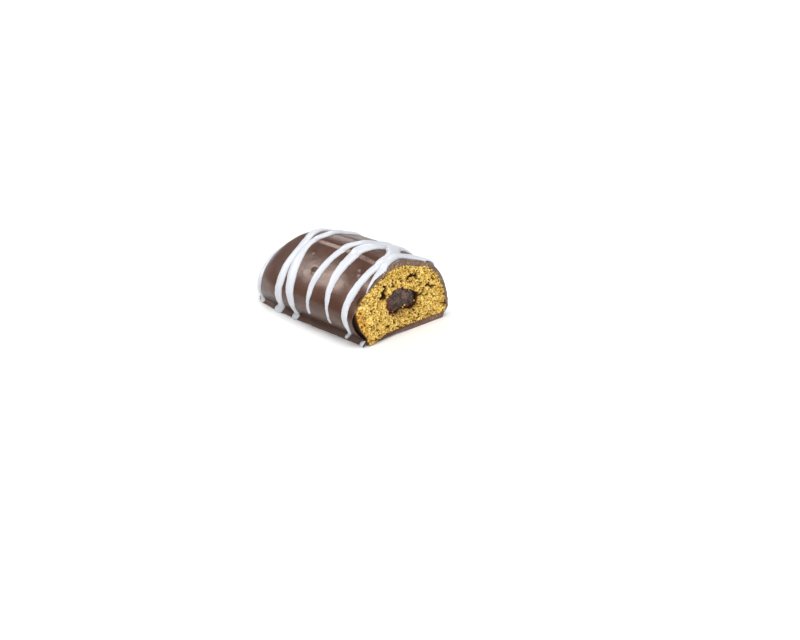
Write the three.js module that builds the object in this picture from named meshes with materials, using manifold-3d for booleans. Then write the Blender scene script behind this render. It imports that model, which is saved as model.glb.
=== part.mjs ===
// Half of a filled gingerbread cookie: a long loaf-shaped bar, dipped in chocolate, drizzled with icing
// and cut across. The cut shows the crumb, the jam in its middle and the thin chocolate round it.
//
// Section frame, used for all the shapes: X runs along the bar with the cut face at X = 0 and the whole
// end toward -X, Y runs across the bar, Z goes up from the flat underside. At the end everything is moved
// so that the middle of the underside is the origin.
import * as THREE from "three";
import { mergeVertices } from "three/addons/utils/BufferGeometryUtils.js";
import Module from "manifold-3d";

const wasm = await Module();
wasm.setup();

// ---------------------------------------------------------------- driving dimensions, millimetres

const HEIGHT = 21.3; // underside to the ridge of the dome, at the cut
const REACH = 46.3; // cut face to the whole end, at the fattest level
const FOOT_REACH = 47.6; // cut face to the tip of the foot at the whole end
const SHOULDER_Z = 6.0; // above this level the whole end leans back over the bar
const END_LEAN = 16.9; // how much shorter the bar is at the ridge than at the shoulder
const END_ROUNDING = 2.6; // exponent of that lean: 2 is a quarter ellipse
const PLAN_SQUARENESS = 3.7; // exponent of the rounded end in plan, near the ridge
const LOW_SQUARENESS = 9.0; // what it is just above the foot; it falls off over SQUARE_DROP
const SQUARE_DROP = 3.7;
const FOOT_SQUARENESS = 6.8; // exponent of the foot itself
const RIDGE_SHIFT = 1.2; // the ridge lies this far to the left of the middle
const END_SAG = 0.225; // share of the height that the ridge loses toward the whole end
const SWELL = 0.95; // the ridge is this much higher behind the cut

// The two flanks: half width of the foot, of the crease above it and of the belly, with their levels. Dome
// is the exponent of the curve from the belly to the ridge, crown what it becomes at the very top, from the
// share crownFrom of the way up, and hollow what it is inside the coat. Shift moves the ridge to the left.
const LEFT = {
  foot: 14.9, crease: 14.2, creaseZ: 1.8, wide: 18.66, wideZ: 8.9,
  dome: 1.42, crown: 1.82, crownFrom: 0.87, hollow: 1.54, shift: RIDGE_SHIFT,
};
const RIGHT = {
  foot: 15.4, crease: 15.3, creaseZ: 1.0, wide: 17.3, wideZ: 3.5,
  dome: 2.12, crown: 1.66, crownFrom: 0.8, hollow: 2.2, shift: -RIDGE_SHIFT,
};
const FOOT_FLARE = 0.7; // extra half width of the foot toward the whole end
const FOOT_RIPPLE = 0.22; // uneven edge of the foot, where the chocolate ran and set

const BULGE = 0.9; // how far the lower left of the cut stands forward
const COAT_SIDE = 1.05; // thickness of the chocolate at the sides
const COAT_TOP = 1.75; // at the ridge
const COAT_FLOOR = 1.75; // under the crumb
const CLEARANCE = 0.3; // gap between chocolate, crumb and jam

const JAM = { y: -0.65, z: 9.4, reach: 38, dip: 0.75 };
const JAM_RADIUS = 4.4; // mean radius of the jam's uneven oval
const JAM_COS = [0, 1.4, 0.25, 0.1]; // its outline, as waves round the mean radius
const JAM_SIN = [0.25, -0.3, -0.45, -0.1];

const ICING_HEIGHT = 0.5; // how far the icing stands above the chocolate
const ICING_ROOT = 0.8; // how deep its underside is sunk, so that the two are one solid
const AXIS_Z = 6.0; // the drizzle's angles are measured round this line along the bar

// Each line of icing as [angle, station, width]. The angle goes round the bar: -90 is level with the axis
// on the left side, 0 is the ridge and 90 the right side. The station is X.
const DRIZZLE = [
  [[-111, -42.5, 1.0], [-100, -43.0, 1.7], [-85, -42.0, 2.4], [-66, -43.5, 1.9], [-30, -44.2, 1.5],
    [30, -43.8, 1.5], [66, -42.5, 1.7], [92, -41.5, 0.9]],
  [[-109, -34.5, 2.4], [-100, -32.5, 2.2], [-82, -31.0, 2.8], [-58, -32.2, 2.7], [-35, -32.5, 2.6],
    [-10, -33.2, 3.0], [20, -33.2, 2.6], [55, -32.0, 2.6], [97, -30.5, 1.0]],
  [[-109, -27.5, 1.7], [-97, -26.5, 1.6], [-85, -25.7, 2.7], [-72, -27.0, 3.0], [-56, -29.0, 3.4],
    [-28, -30.4, 2.2], [-8, -27.9, 2.5], [20, -28.4, 2.6], [55, -28.5, 2.9], [99, -27.8, 1.0]],
  [[-93, -19.0, 0.4], [-79, -18.2, 1.2], [-62, -18.9, 2.2], [-35, -18.6, 2.3], [-18, -17.3, 2.3],
    [-3, -15.4, 2.3], [25, -15.2, 2.6], [60, -15.0, 2.5], [94, -14.6, 1.0]],
  [[-96, -11.2, 0.4], [-82, -10.4, 1.0], [-65, -12.0, 2.0], [-46, -13.0, 2.9], [-20, -12.9, 3.5],
    [2, -11.5, 4.3], [14, -12.3, 3.6], [26, -12.0, 4.2], [52, -11.5, 2.9], [98, -12.4, 1.0]],
  [[-109, -7.0, 0.5], [-97, -3.9, 0.8], [-85, -3.3, 1.9], [-68, -4.2, 2.2], [-42, -4.2, 2.4],
    [-14, -3.8, 2.4], [1, -5.3, 2.7], [14, -8.0, 4.4], [30, -10.5, 3.3], [58, -9.5, 2.5],
    [96, -7.4, 0.9]],
  [[-62, 0.6, 0.8], [-50, -0.1, 1.8], [-34, -0.9, 2.6], [-12, -2.3, 2.4], [4, -3.4, 2.9],
    [22, -3.1, 3.4], [46, 0.2, 2.4]],
];

// Blobs where the icing ran down on to the foot, as [x, y, z, radius along, radius across, radius up].
const DROPS = [
  [-42.5, -13.4, 1.2, 1.2, 1.0, 0.8],
  [-34.0, -14.4, 1.2, 1.5, 1.1, 0.9],
  [-27.2, -14.6, 1.1, 1.4, 1.1, 0.9],
  [-0.6, -14.5, 0.8, 1.3, 0.9, 0.8],
];

// Holes in the crumb that show at the cut, as [y, z, half width, half height, depth].
const PITS = [
  [-7.5, 12.9, 1.0, 1.3, 1.7], [-6.7, 14.8, 0.65, 1.0, 1.0], [2.2, 15.5, 1.0, 0.7, 1.1],
  [4.2, 15.3, 1.1, 0.65, 1.0], [9.2, 11.5, 0.8, 0.6, 1.1], [10.8, 10.3, 1.5, 0.4, 0.7],
  [-3.8, 14.9, 0.6, 1.3, 0.8], [-0.6, 15.1, 0.8, 0.5, 0.8], [3.9, 12.3, 0.45, 0.65, 0.7],
  [6.9, 9.5, 1.5, 0.5, 0.8], [4.7, 4.4, 0.5, 0.4, 0.6], [9.3, 2.9, 0.65, 0.4, 0.6],
  [-5.8, 3.6, 0.8, 0.65, 0.8], [-11.7, 9.6, 0.45, 0.5, 0.6],
];
const SMALL_PITS = 26;

const OUTSIDE = { rings: 25, around: 43 }; // levels up to the ridge, points round the bar at each level
const INSIDE = { rings: 15, around: 31 };
const GRID = 1.3; // spacing of the relief on the cut face
const SHORTEST_EDGE = 0.22;
const FLATTEST = 0.05;

// ---------------------------------------------------------------- numbers

function clamp01(t) {
  return Math.min(1, Math.max(0, t));
}

function smooth(t) {
  const c = clamp01(t);
  return c * c * (3 - 2 * c);
}

// A fixed scatter of numbers between 0 and 1.
function scatter(i) {
  const s = Math.sin(i * 127.1 + 311.7) * 43758.5453;
  return s - Math.floor(s);
}

// Lumpy relief between about -1 and 1, from a few crossing waves.
function lumps(y, z, scale, phase) {
  const u = y / scale;
  const v = z / scale;
  const a = Math.sin(1.9 * u + 0.7 * v + phase);
  const b = Math.sin(-1.1 * u + 2.3 * v + 2.1 * phase);
  const c = Math.sin(3.1 * u - 2.7 * v + 0.6 * phase);
  const d = Math.sin(4.3 * u + 3.9 * v - phase);
  return (a + b + 0.8 * c + 0.6 * d) / 2.6;
}

// ---------------------------------------------------------------- the loaf shape

// One loaf-shaped body, open to a smaller copy of itself: inset gives how far each face is moved in.
class Loaf {
  constructor({ side = 0, top = 0, floor = 0, foot = true } = {}) {
    this.foot = foot;
    this.mesh = foot ? OUTSIDE : INSIDE;
    this.floor = floor;
    this.top = HEIGHT - top;
    this.reach = REACH - side * 1.2;
    this.footReach = foot ? FOOT_REACH : this.reach - 1.0;
    this.left = this.inset(LEFT, side);
    this.right = this.inset(RIGHT, side);
  }

  inset(flank, by) {
    const lowest = this.foot ? flank.foot : flank.crease - 0.3 * by;
    const dome = this.foot ? flank.dome : flank.hollow;
    return { ...flank, foot: lowest, crease: flank.crease - 0.3 * by, wide: flank.wide - by, dome };
  }

  // How far one flank stands from Y = 0 at level z: foot, crease, belly, then the dome up to the ridge.
  halfWidth(flank, z) {
    if (z < flank.creaseZ) {
      return flank.foot + (flank.crease - flank.foot) * smooth(z / flank.creaseZ);
    }
    if (z < flank.wideZ) {
      const t = (z - flank.creaseZ) / (flank.wideZ - flank.creaseZ);
      return flank.wide - (flank.wide - flank.crease) * (1 - t) ** 2;
    }
    const u = clamp01((z - flank.wideZ) / (this.top - flank.wideZ));
    const round = flank.dome + (flank.crown - flank.dome) * smooth((u - flank.crownFrom) / 0.14);
    return flank.wide * Math.max(0, 1 - u ** round) ** (1 / round) + flank.shift * u;
  }

  // The plan outline at level z: its middle line, both flanks, the reach and its squareness.
  level(z) {
    const u = clamp01((z - SHOULDER_Z) / (this.top - SHOULDER_Z));
    const waist = this.reach - 0.3;
    let reach = waist + (this.reach - waist) * smooth((z - 1.8) / (SHOULDER_Z - 1.8));
    if (z < 1.8) {
      reach = this.footReach + (waist - this.footReach) * smooth((z - 0.4) / 1.4);
    }
    if (z > SHOULDER_Z) {
      reach = this.reach - END_LEAN * (1 - Math.max(0, 1 - u ** END_ROUNDING) ** (1 / END_ROUNDING));
    }
    return {
      mid: -RIDGE_SHIFT * u,
      left: this.halfWidth(this.left, z),
      right: this.halfWidth(this.right, z),
      reach,
      power: this.squareness(z),
      flare: this.foot ? FOOT_FLARE * (1 - smooth((z - 0.6) / 3)) : 0,
    };
  }

  // The exponent of the rounded end at level z.
  squareness(z) {
    const fall = Math.exp((1.8 - Math.max(z, 1.8)) / SQUARE_DROP);
    const body = PLAN_SQUARENESS + (LOW_SQUARENESS - PLAN_SQUARENESS) * fall;
    return FOOT_SQUARENESS + (body - FOOT_SQUARENESS) * smooth(z - 0.8);
  }

  // How much the true height differs from the level, at station x.
  lift(x) {
    const back = Math.abs(Math.min(x, 0));
    const sag = 1 - END_SAG * (back / REACH) ** 3.6;
    return sag + (SWELL / HEIGHT) * (1 - Math.exp(-((back / 9) ** 2)));
  }

  // True where the point is inside the body.
  holds(x, y, z) {
    const flat = z / this.lift(x);
    if (flat < this.floor || flat >= this.top) {
      return false;
    }
    const at = this.level(flat);
    const flare = at.flare * smooth(Math.abs(x) / 35);
    const half = y < at.mid ? at.left + flare + at.mid : at.right + flare - at.mid;
    if (half <= 0) {
      return false;
    }
    const back = Math.abs(Math.min(x, 0)) / at.reach;
    return back ** at.power + (Math.abs(y - at.mid) / half) ** at.power < 1;
  }

  // One closed plan outline at level z, running a little past the cut.
  ring(z, past) {
    const at = this.level(z);
    const points = [];
    for (let j = 0; j < this.mesh.around; j += 1) {
      const phi = (j / (this.mesh.around - 1) - 0.5) * Math.PI;
      const c = Math.max(0, Math.cos(phi));
      const s = Math.sin(phi);
      const n = (c ** at.power + Math.abs(s) ** at.power) ** (1 / at.power);
      const x = (-at.reach * c) / n;
      const across = s / n;
      let flare = at.flare * smooth(Math.abs(x) / 35);
      if (this.foot && z < 1.5) {
        flare += FOOT_RIPPLE * lumps(x * 1.7, 3 * across, 2.2, 0.4);
      }
      const toLeft = Math.max(0, at.left + flare + at.mid);
      const toRight = Math.max(0, at.right + flare - at.mid);
      const y = at.mid + across * (s < 0 ? toLeft : toRight);
      points.push(new THREE.Vector3(x, y, z * this.lift(x)));
    }
    const first = points[0].clone().setX(past);
    const last = points[points.length - 1].clone().setX(past);
    return [first, ...points, last];
  }

  solid(past) {
    const rings = [];
    for (let k = 0; k < this.mesh.rings; k += 1) {
      const t = k / (this.mesh.rings - 1);
      rings.push(this.ring(this.floor + (this.top - this.floor) * this.spread(t), past));
    }
    return stack(rings);
  }

  // Levels lie close together at the foot and near the ridge, where the surface turns fastest.
  spread(t) {
    return this.foot ? 0.8 * smooth(t) + 0.2 * t : Math.sin((t * Math.PI) / 2);
  }

  // The surface point reached from the axis at station x, at an angle round the bar in degrees.
  surface(x, angle) {
    const a = THREE.MathUtils.degToRad(angle);
    const dy = Math.sin(a);
    const dz = Math.cos(a);
    let r = 0.5;
    while (r < 40 && this.holds(x, r * dy, AXIS_Z + r * dz)) {
      r += 0.25;
    }
    let near = r - 0.25;
    let far = r;
    for (let i = 0; i < 16; i += 1) {
      const half = (near + far) / 2;
      if (this.holds(x, half * dy, AXIS_Z + half * dz)) {
        near = half;
      } else {
        far = half;
      }
    }
    return new THREE.Vector3(x, near * dy, AXIS_Z + near * dz);
  }

  // The outward direction there.
  outward(x, angle) {
    const along = this.surface(x + 0.4, angle).sub(this.surface(x - 0.4, angle));
    const round = this.surface(x, angle + 2).sub(this.surface(x, angle - 2));
    return along.cross(round).normalize().negate();
  }
}

// ---------------------------------------------------------------- solids

function solidFrom(points, triangles) {
  let geometry = new THREE.BufferGeometry();
  const flat = points.flatMap((p) => [p.x, p.y, p.z]);
  geometry.setAttribute("position", new THREE.Float32BufferAttribute(flat, 3));
  geometry.setIndex(triangles);
  geometry = mergeVertices(geometry, 1e-4);
  return solidOf(geometry);
}

function solidOf(geometry) {
  const bare = new THREE.BufferGeometry();
  bare.setAttribute("position", geometry.getAttribute("position"));
  if (geometry.index) {
    bare.setIndex(geometry.index);
  }
  const merged = mergeVertices(bare, 1e-4);
  const vertProperties = new Float32Array(merged.getAttribute("position").array);
  const triVerts = Uint32Array.from(withoutSlivers(merged.index.array));
  return new wasm.Manifold(new wasm.Mesh({ numProp: 3, vertProperties, triVerts }));
}

// Triangles with two corners on one vertex are left out.
function withoutSlivers(index) {
  const kept = [];
  for (let i = 0; i < index.length; i += 3) {
    const [a, b, c] = [index[i], index[i + 1], index[i + 2]];
    if (a !== b && b !== c && a !== c) {
      kept.push(a, b, c);
    }
  }
  return kept;
}

// A closed solid through outlines of equal length, one above the other. The lowest and the highest are
// closed by a ladder of triangles between their two halves.
function stack(rings) {
  const n = rings[0].length;
  const points = rings.flat();
  const triangles = [];
  for (let k = 0; k + 1 < rings.length; k += 1) {
    for (let j = 0; j < n; j += 1) {
      const a = k * n + j;
      const b = k * n + ((j + 1) % n);
      triangles.push(a, a + n, b, b, a + n, b + n);
    }
  }
  const top = (rings.length - 1) * n;
  for (let j = 0; 2 * j + 1 < n; j += 1) {
    const [a, b] = [j, n - 1 - j];
    if (b - 1 > a) {
      triangles.push(a, a + 1, b - 1, a, b - 1, b);
      triangles.push(top + a, top + b - 1, top + a + 1, top + a, top + b, top + b - 1);
    }
  }
  return solidFrom(points, triangles);
}

// Everything behind the cut, whose face is a grid with the given relief.
function behindCut(relief, grid) {
  const [y0, y1, z0, z1] = [-21, 21, -2, 25];
  const ny = Math.round((y1 - y0) / grid);
  const nz = Math.round((z1 - z0) / grid);
  const points = [];
  const triangles = [];
  for (let k = 0; k <= nz; k += 1) {
    for (let j = 0; j <= ny; j += 1) {
      const y = y0 + ((y1 - y0) * j) / ny;
      const z = z0 + ((z1 - z0) * k) / nz;
      points.push(new THREE.Vector3(relief(y, z), y, z));
    }
  }
  const at = (j, k) => k * (ny + 1) + j;
  for (let k = 0; k < nz; k += 1) {
    for (let j = 0; j < ny; j += 1) {
      triangles.push(at(j, k), at(j + 1, k), at(j + 1, k + 1), at(j, k), at(j + 1, k + 1), at(j, k + 1));
    }
  }
  const hub = points.length;
  points.push(new THREE.Vector3(-3000, 0, 10));
  for (let j = 0; j < ny; j += 1) {
    triangles.push(at(j, 0), hub, at(j + 1, 0), at(j, nz), at(j + 1, nz), hub);
  }
  for (let k = 0; k < nz; k += 1) {
    triangles.push(at(0, k), at(0, k + 1), hub, at(ny, k), hub, at(ny, k + 1));
  }
  return solidFrom(points, triangles);
}

function blob(x, y, z, rx, ry, rz, detail = 1) {
  const geometry = new THREE.IcosahedronGeometry(1, detail);
  geometry.deleteAttribute("normal");
  geometry.deleteAttribute("uv");
  geometry.scale(rx, ry, rz);
  geometry.rotateX(0.4 * y);
  geometry.translate(x, y, z);
  return solidOf(geometry);
}

// One line of icing lying on the loaf: a low rounded bead whose underside is sunk in the chocolate.
function bead(loaf, knots) {
  const curve = new THREE.CatmullRomCurve3(knots.map((k) => new THREE.Vector3(...k)));
  const stations = knots.length * 4;
  const across = 4;
  const rings = [];
  for (let i = 0; i <= stations; i += 1) {
    const { x: angle, y: station, z: width } = curve.getPoint(i / stations);
    const fromEnd = Math.min(i, stations - i) / stations;
    const rise = ICING_HEIGHT * Math.min(1, width / 2) * smooth(0.35 + 3 * fromEnd);
    const ring = [];
    for (let j = 0; j <= across; j += 1) {
      const s = (2 * j) / across - 1;
      const x = station + (s * width) / 2;
      const point = loaf.surface(x, angle);
      const up = rise * Math.sqrt(Math.max(0, 1 - s * s)) - 0.04;
      ring.push(point.addScaledVector(loaf.outward(x, angle), up));
    }
    for (const s of [0.8, -0.8]) {
      const x = station + (s * width) / 2;
      ring.push(loaf.surface(x, angle).addScaledVector(loaf.outward(x, angle), -ICING_ROOT));
    }
    rings.push(ring);
  }
  return tube(rings);
}

// A closed solid through a row of equal outlines, with its two ends closed by a fan.
function tube(rings) {
  const n = rings[0].length;
  const points = rings.flat();
  const triangles = [];
  for (let k = 0; k + 1 < rings.length; k += 1) {
    for (let j = 0; j < n; j += 1) {
      const a = k * n + j;
      const b = k * n + ((j + 1) % n);
      triangles.push(a, a + n, b, b, a + n, b + n);
    }
  }
  const last = (rings.length - 1) * n;
  for (let j = 1; j + 1 < n; j += 1) {
    triangles.push(0, j, j + 1, last, last + j + 1, last + j);
  }
  return solidFrom(points, triangles);
}

// The jam's section at an angle round its middle.
function jamRadius(a, inset) {
  let r = JAM_RADIUS - inset;
  JAM_COS.forEach((c, i) => {
    r += c * Math.cos((i + 1) * a) + JAM_SIN[i] * Math.sin((i + 1) * a);
  });
  return r;
}

// The rod of jam that runs through the crumb and closes before the whole end.
function jamRod(inset, past) {
  const rings = [];
  const stations = 13;
  const count = 26;
  for (let k = 0; k <= stations; k += 1) {
    const t = k / stations;
    const x = past - (past + JAM.reach - inset) * t;
    const close = Math.sqrt(Math.max(0.02, 1 - clamp01((t - 0.72) / 0.28) ** 2));
    const ring = [];
    for (let j = 0; j < count; j += 1) {
      const a = (2 * Math.PI * j) / count;
      const wander = 0.3 * Math.sin(0.21 * x + 3 * a) * smooth(-x / 6);
      const r = (jamRadius(a, inset) + wander) * close;
      ring.push(new THREE.Vector3(x, JAM.y + r * Math.cos(a), JAM.z + r * Math.sin(a)));
    }
    rings.push(ring);
  }
  return tube(rings);
}

// The triangles of a closed skin, which can be rid of the needles that cutting and joining leave.
class Skin {
  constructor(positions, index) {
    this.points = [];
    for (let i = 0; i < positions.length; i += 3) {
      this.points.push(new THREE.Vector3(positions[i], positions[i + 1], positions[i + 2]));
    }
    this.faces = [];
    this.around = this.points.map(() => new Set());
    for (let i = 0; i < index.length; i += 3) {
      this.put([index[i], index[i + 1], index[i + 2]]);
    }
  }

  put(face) {
    const id = this.faces.push(face) - 1;
    face.forEach((v) => this.around[v].add(id));
  }

  drop(id) {
    this.faces[id].forEach((v) => this.around[v].delete(id));
    this.faces[id] = null;
  }

  neighbours(v) {
    const found = new Set();
    for (const id of this.around[v]) {
      this.faces[id].forEach((w) => found.add(w));
    }
    found.delete(v);
    return found;
  }

  normal([a, b, c]) {
    const [p, q, r] = [this.points[a], this.points[b], this.points[c]];
    return q.clone().sub(p).cross(r.clone().sub(p));
  }

  length(a, b) {
    return this.points[a].distanceTo(this.points[b]);
  }

  // A triangle's height over its longest side.
  flatness(face) {
    const sides = [0, 1, 2].map((i) => this.length(face[i], face[(i + 1) % 3]));
    return this.normal(face).length() / Math.max(...sides);
  }

  // How well the faces round a keep their directions if a moves on to b; below 0 where one turns over.
  keeps(a, b) {
    let worst = 1;
    for (const id of this.around[a]) {
      const face = this.faces[id];
      if (!face.includes(b)) {
        const before = this.normal(face);
        const after = this.normal(face.map((v) => (v === a ? b : v)));
        if (after.length() < 1e-4) {
          return -1;
        }
        if (before.length() > 2e-3) {
          worst = Math.min(worst, before.normalize().dot(after.normalize()));
        }
      }
    }
    return worst;
  }

  // Moves a on to b where the skin stays whole.
  merge(a, b, least) {
    const near = this.neighbours(b);
    const shared = [...this.neighbours(a)].filter((v) => near.has(v));
    if (shared.length !== 2 || this.keeps(a, b) < least) {
      return false;
    }
    for (const id of [...this.around[a]]) {
      const face = this.faces[id];
      this.drop(id);
      if (!face.includes(b)) {
        this.put(face.map((v) => (v === a ? b : v)));
      }
    }
    return true;
  }

  // Turns the long side of a flat needle to its other diagonal.
  turn(id) {
    const face = this.faces[id];
    const sides = [0, 1, 2].map((i) => this.length(face[i], face[(i + 1) % 3]));
    const i = sides.indexOf(Math.max(...sides));
    const [a, b, c] = [face[i], face[(i + 1) % 3], face[(i + 2) % 3]];
    const other = [...this.around[a]].find((k) => k !== id && this.faces[k].includes(b));
    const d = this.faces[other].find((v) => v !== a && v !== b);
    if (this.neighbours(c).has(d)) {
      return false;
    }
    const facing = this.normal(this.faces[other]);
    const [first, second] = [[c, a, d], [d, b, c]];
    if (this.normal(first).dot(facing) <= 0 || this.normal(second).dot(facing) <= 0) {
      return false;
    }
    if (Math.min(this.flatness(first), this.flatness(second)) <= 1.2 * this.flatness(face)) {
      return false;
    }
    this.drop(id);
    this.drop(other);
    this.put(first);
    this.put(second);
    return true;
  }

  // Closes edges shorter than the shortest one wanted, and turns triangles flatter than the flattest.
  tidied(shortest, flattest) {
    for (let round = 0; round < 8; round += 1) {
      let changed = 0;
      const count = this.faces.length;
      for (let id = 0; id < count; id += 1) {
        const face = this.faces[id];
        if (face) {
          const sides = [0, 1, 2].map((i) => this.length(face[i], face[(i + 1) % 3]));
          const i = sides.indexOf(Math.min(...sides));
          const [a, b] = [face[i], face[(i + 1) % 3]];
          if (sides[i] < shortest) {
            const order = this.keeps(a, b) > this.keeps(b, a) ? [a, b] : [b, a];
            changed += this.merge(...order, 0.5) || this.merge(order[1], order[0], 0.5) ? 1 : 0;
          } else if (this.flatness(face) < flattest) {
            changed += this.turn(id) ? 1 : 0;
          }
        }
      }
      if (changed === 0) {
        break;
      }
    }
    return this;
  }

  geometry() {
    const place = new Map();
    const index = [];
    const flat = [];
    for (const face of this.faces.filter((f) => f)) {
      for (const v of face) {
        if (!place.has(v)) {
          place.set(v, place.size);
          flat.push(...this.points[v].toArray());
        }
        index.push(place.get(v));
      }
    }
    const made = new THREE.BufferGeometry();
    made.setAttribute("position", new THREE.Float32BufferAttribute(flat, 3));
    made.setIndex(index);
    return made;
  }
}

// ---------------------------------------------------------------- the three pieces

const outer = new Loaf();
const hollow = new Loaf({ side: COAT_SIDE, top: COAT_TOP, floor: COAT_FLOOR, foot: false });
const inside = new Loaf({
  side: COAT_SIDE + CLEARANCE,
  top: COAT_TOP + CLEARANCE,
  floor: COAT_FLOOR + CLEARANCE,
  foot: false,
});

// The chocolate broke a little unevenly along the cut: set back at the left, and bulging at its base there.
function coatRelief(y, z) {
  const chipped = smooth((-y - 13.8) / 2.6) * smooth((z - 1.4) / 1.5) * smooth((12.5 - z) / 3);
  const base = BULGE * Math.exp(-(((y + 8.5) / 4) ** 2)) * smooth((4 - z) / 2);
  return -0.25 + 0.18 * lumps(y, z, 1.5, 2.2) - 0.6 * chipped + base;
}

// How far the crumb stands forward, at the lower left of the cut.
function forward(y, z) {
  return BULGE * smooth((-1 - y) / 9) * smooth((11 - z) / 6);
}

// The crumb tore as it was cut.
function crumbRelief(y, z) {
  return 0.28 * lumps(y, z, 1.9, 0.9) + 0.2 * lumps(y, z, 0.8, 3.1) + forward(y, z);
}

// The jam is soft: it lies a little back from the crumb and is lumpy.
function jamRelief(y, z) {
  return -JAM.dip + 0.3 * lumps(y, z, 1.7, 1.4);
}

function coating() {
  let solid = outer.solid(3);
  for (const knots of DRIZZLE) {
    solid = solid.add(bead(outer, knots));
  }
  for (const drop of DROPS) {
    solid = solid.add(blob(...drop));
  }
  solid = solid.intersect(behindCut(coatRelief, GRID));
  solid = solid.intersect(aboveFloor());
  const chip = blob(0.3, 12.3, 0.6, 2.4, 1.7, 1.5);
  return solid.subtract(hollow.solid(6)).subtract(chip);
}

// Everything above the underside, so that the drops end flat there.
function aboveFloor() {
  const geometry = new THREE.BoxGeometry(200, 100, 60);
  geometry.translate(0, 0, 30);
  return solidOf(geometry);
}

function crumb() {
  let solid = inside.solid(6).intersect(behindCut(crumbRelief, GRID));
  solid = solid.subtract(jamRod(-CLEARANCE, 6));
  for (const [y, z, ry, rz, depth] of PITS) {
    solid = solid.subtract(blob(0.1 + forward(y, z), y, z, depth, ry, rz));
  }
  for (let i = 0; i < SMALL_PITS; i += 1) {
    const a = 2 * Math.PI * (i * 0.618 + 0.08 * scatter(i));
    const r = 0.3 + 0.62 * Math.sqrt(scatter(i + 40));
    const size = 0.35 + 0.3 * scatter(i + 80);
    const y = -0.6 + 16 * r * Math.cos(a);
    const z = 9.5 + 8.4 * r * Math.sin(a);
    const x = 0.1 + forward(y, z);
    solid = solid.subtract(blob(x, y, z, 1.4 * size, size * (0.8 + 0.5 * scatter(i + 7)), size, 0));
  }
  return solid;
}

function jam() {
  return jamRod(0, 6).intersect(behindCut(jamRelief, 0.9));
}

function meshOf(name, solid, material) {
  const { vertProperties, triVerts } = solid.getMesh();
  const geometry = new Skin(vertProperties, triVerts).tidied(SHORTEST_EDGE, FLATTEST).geometry();
  const mesh = new THREE.Mesh(geometry, new THREE.MeshStandardMaterial(material));
  mesh.name = name;
  return mesh;
}

const cookie = new THREE.Group();
cookie.name = "gingerbread_cookie_half";
cookie.add(meshOf("chocolate_coating", coating(), { color: 0x4a342b, roughness: 0.42, metalness: 0 }));
cookie.add(meshOf("gingerbread", crumb(), { color: 0xb98a2e, roughness: 0.95, metalness: 0 }));
cookie.add(meshOf("jam_filling", jam(), { color: 0x2e1a1a, roughness: 0.25, metalness: 0 }));

// The middle of the underside becomes the origin.
const box = new THREE.Box3().setFromObject(cookie);
const middle = box.getCenter(new THREE.Vector3());
for (const mesh of cookie.children) {
  mesh.geometry.translate(-middle.x, -middle.y, -box.min.z);
}

export default cookie;
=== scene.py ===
"""Half of a filled gingerbread cookie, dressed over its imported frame.

The section frame is used for every shape, in millimetres: X runs along the cookie with the cut at X = 0 and
the whole end toward -X, Y runs across, Z goes up from the underside. ROW_SHIFT takes it to the frame of the
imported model, where every finished mesh lies in metres.
"""

import logging
import math
from dataclasses import dataclass, field, replace
from enum import Enum

import bpy
import numpy as np
from mathutils import Matrix, Vector


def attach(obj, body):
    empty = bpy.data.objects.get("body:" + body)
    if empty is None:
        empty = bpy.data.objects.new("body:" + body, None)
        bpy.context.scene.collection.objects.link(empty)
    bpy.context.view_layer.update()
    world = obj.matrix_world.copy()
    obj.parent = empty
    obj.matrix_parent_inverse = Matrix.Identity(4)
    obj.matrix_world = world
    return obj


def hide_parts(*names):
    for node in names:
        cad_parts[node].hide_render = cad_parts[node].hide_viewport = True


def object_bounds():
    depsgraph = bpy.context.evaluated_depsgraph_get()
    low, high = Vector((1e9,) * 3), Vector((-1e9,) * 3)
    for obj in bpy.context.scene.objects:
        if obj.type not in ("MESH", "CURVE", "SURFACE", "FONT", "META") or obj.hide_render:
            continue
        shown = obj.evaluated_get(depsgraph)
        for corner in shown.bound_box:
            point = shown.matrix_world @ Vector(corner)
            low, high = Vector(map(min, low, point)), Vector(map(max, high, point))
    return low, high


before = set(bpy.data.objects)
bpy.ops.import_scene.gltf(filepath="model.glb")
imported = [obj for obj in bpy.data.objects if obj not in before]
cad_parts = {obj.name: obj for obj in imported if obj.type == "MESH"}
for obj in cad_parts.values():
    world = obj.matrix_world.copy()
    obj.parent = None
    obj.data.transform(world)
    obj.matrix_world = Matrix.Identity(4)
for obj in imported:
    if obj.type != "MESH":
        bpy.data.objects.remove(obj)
CAD_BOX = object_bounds()

Piece = bpy.types.Object
Socket = bpy.types.NodeSocket

LOG = logging.getLogger("cookie")
MM = 0.001
ROW_SHIFT = np.array([23.2433, 0.6768, 0.0])
HEIGHT = 21.3  # underside to the ridge, at the cut
REACH = 46.3  # cut to the whole end, at the fattest level
FOOT_REACH = 47.6  # cut to the tip of the foot at the whole end
FOOT_TOP = 1.8  # level where the foot ends and the body begins
RIDGE_SHIFT = 1.2  # the ridge lies this far to the left of the middle
AXIS_Z = 6.0  # the icing's angles go round a line along the loaf at this level
LOAF_MIDDLE = np.array([-22.0, -0.5, AXIS_Z])  # a place well inside, from which outward is judged
JUST_BEHIND = -0.01  # a station just behind the cut, inside every body
RIM_SETBACK = 0.25  # how far the broken chocolate lies behind the crumb
BULGE = 0.9  # how far the lower left of the cut stands forward
JAM_Y = -0.65  # the jam's middle, across the loaf and above the underside
JAM_Z = 9.4
NOTHING = 1e-6  # keeps a division off zero, and a level just under the ridge


# ---------------------------------------------------------------- numbers


def ease(t: np.ndarray) -> np.ndarray:
    """Smooth step from 0 to 1."""
    t = np.clip(t, 0.0, 1.0)
    return t * t * (3.0 - 2.0 * t)


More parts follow.
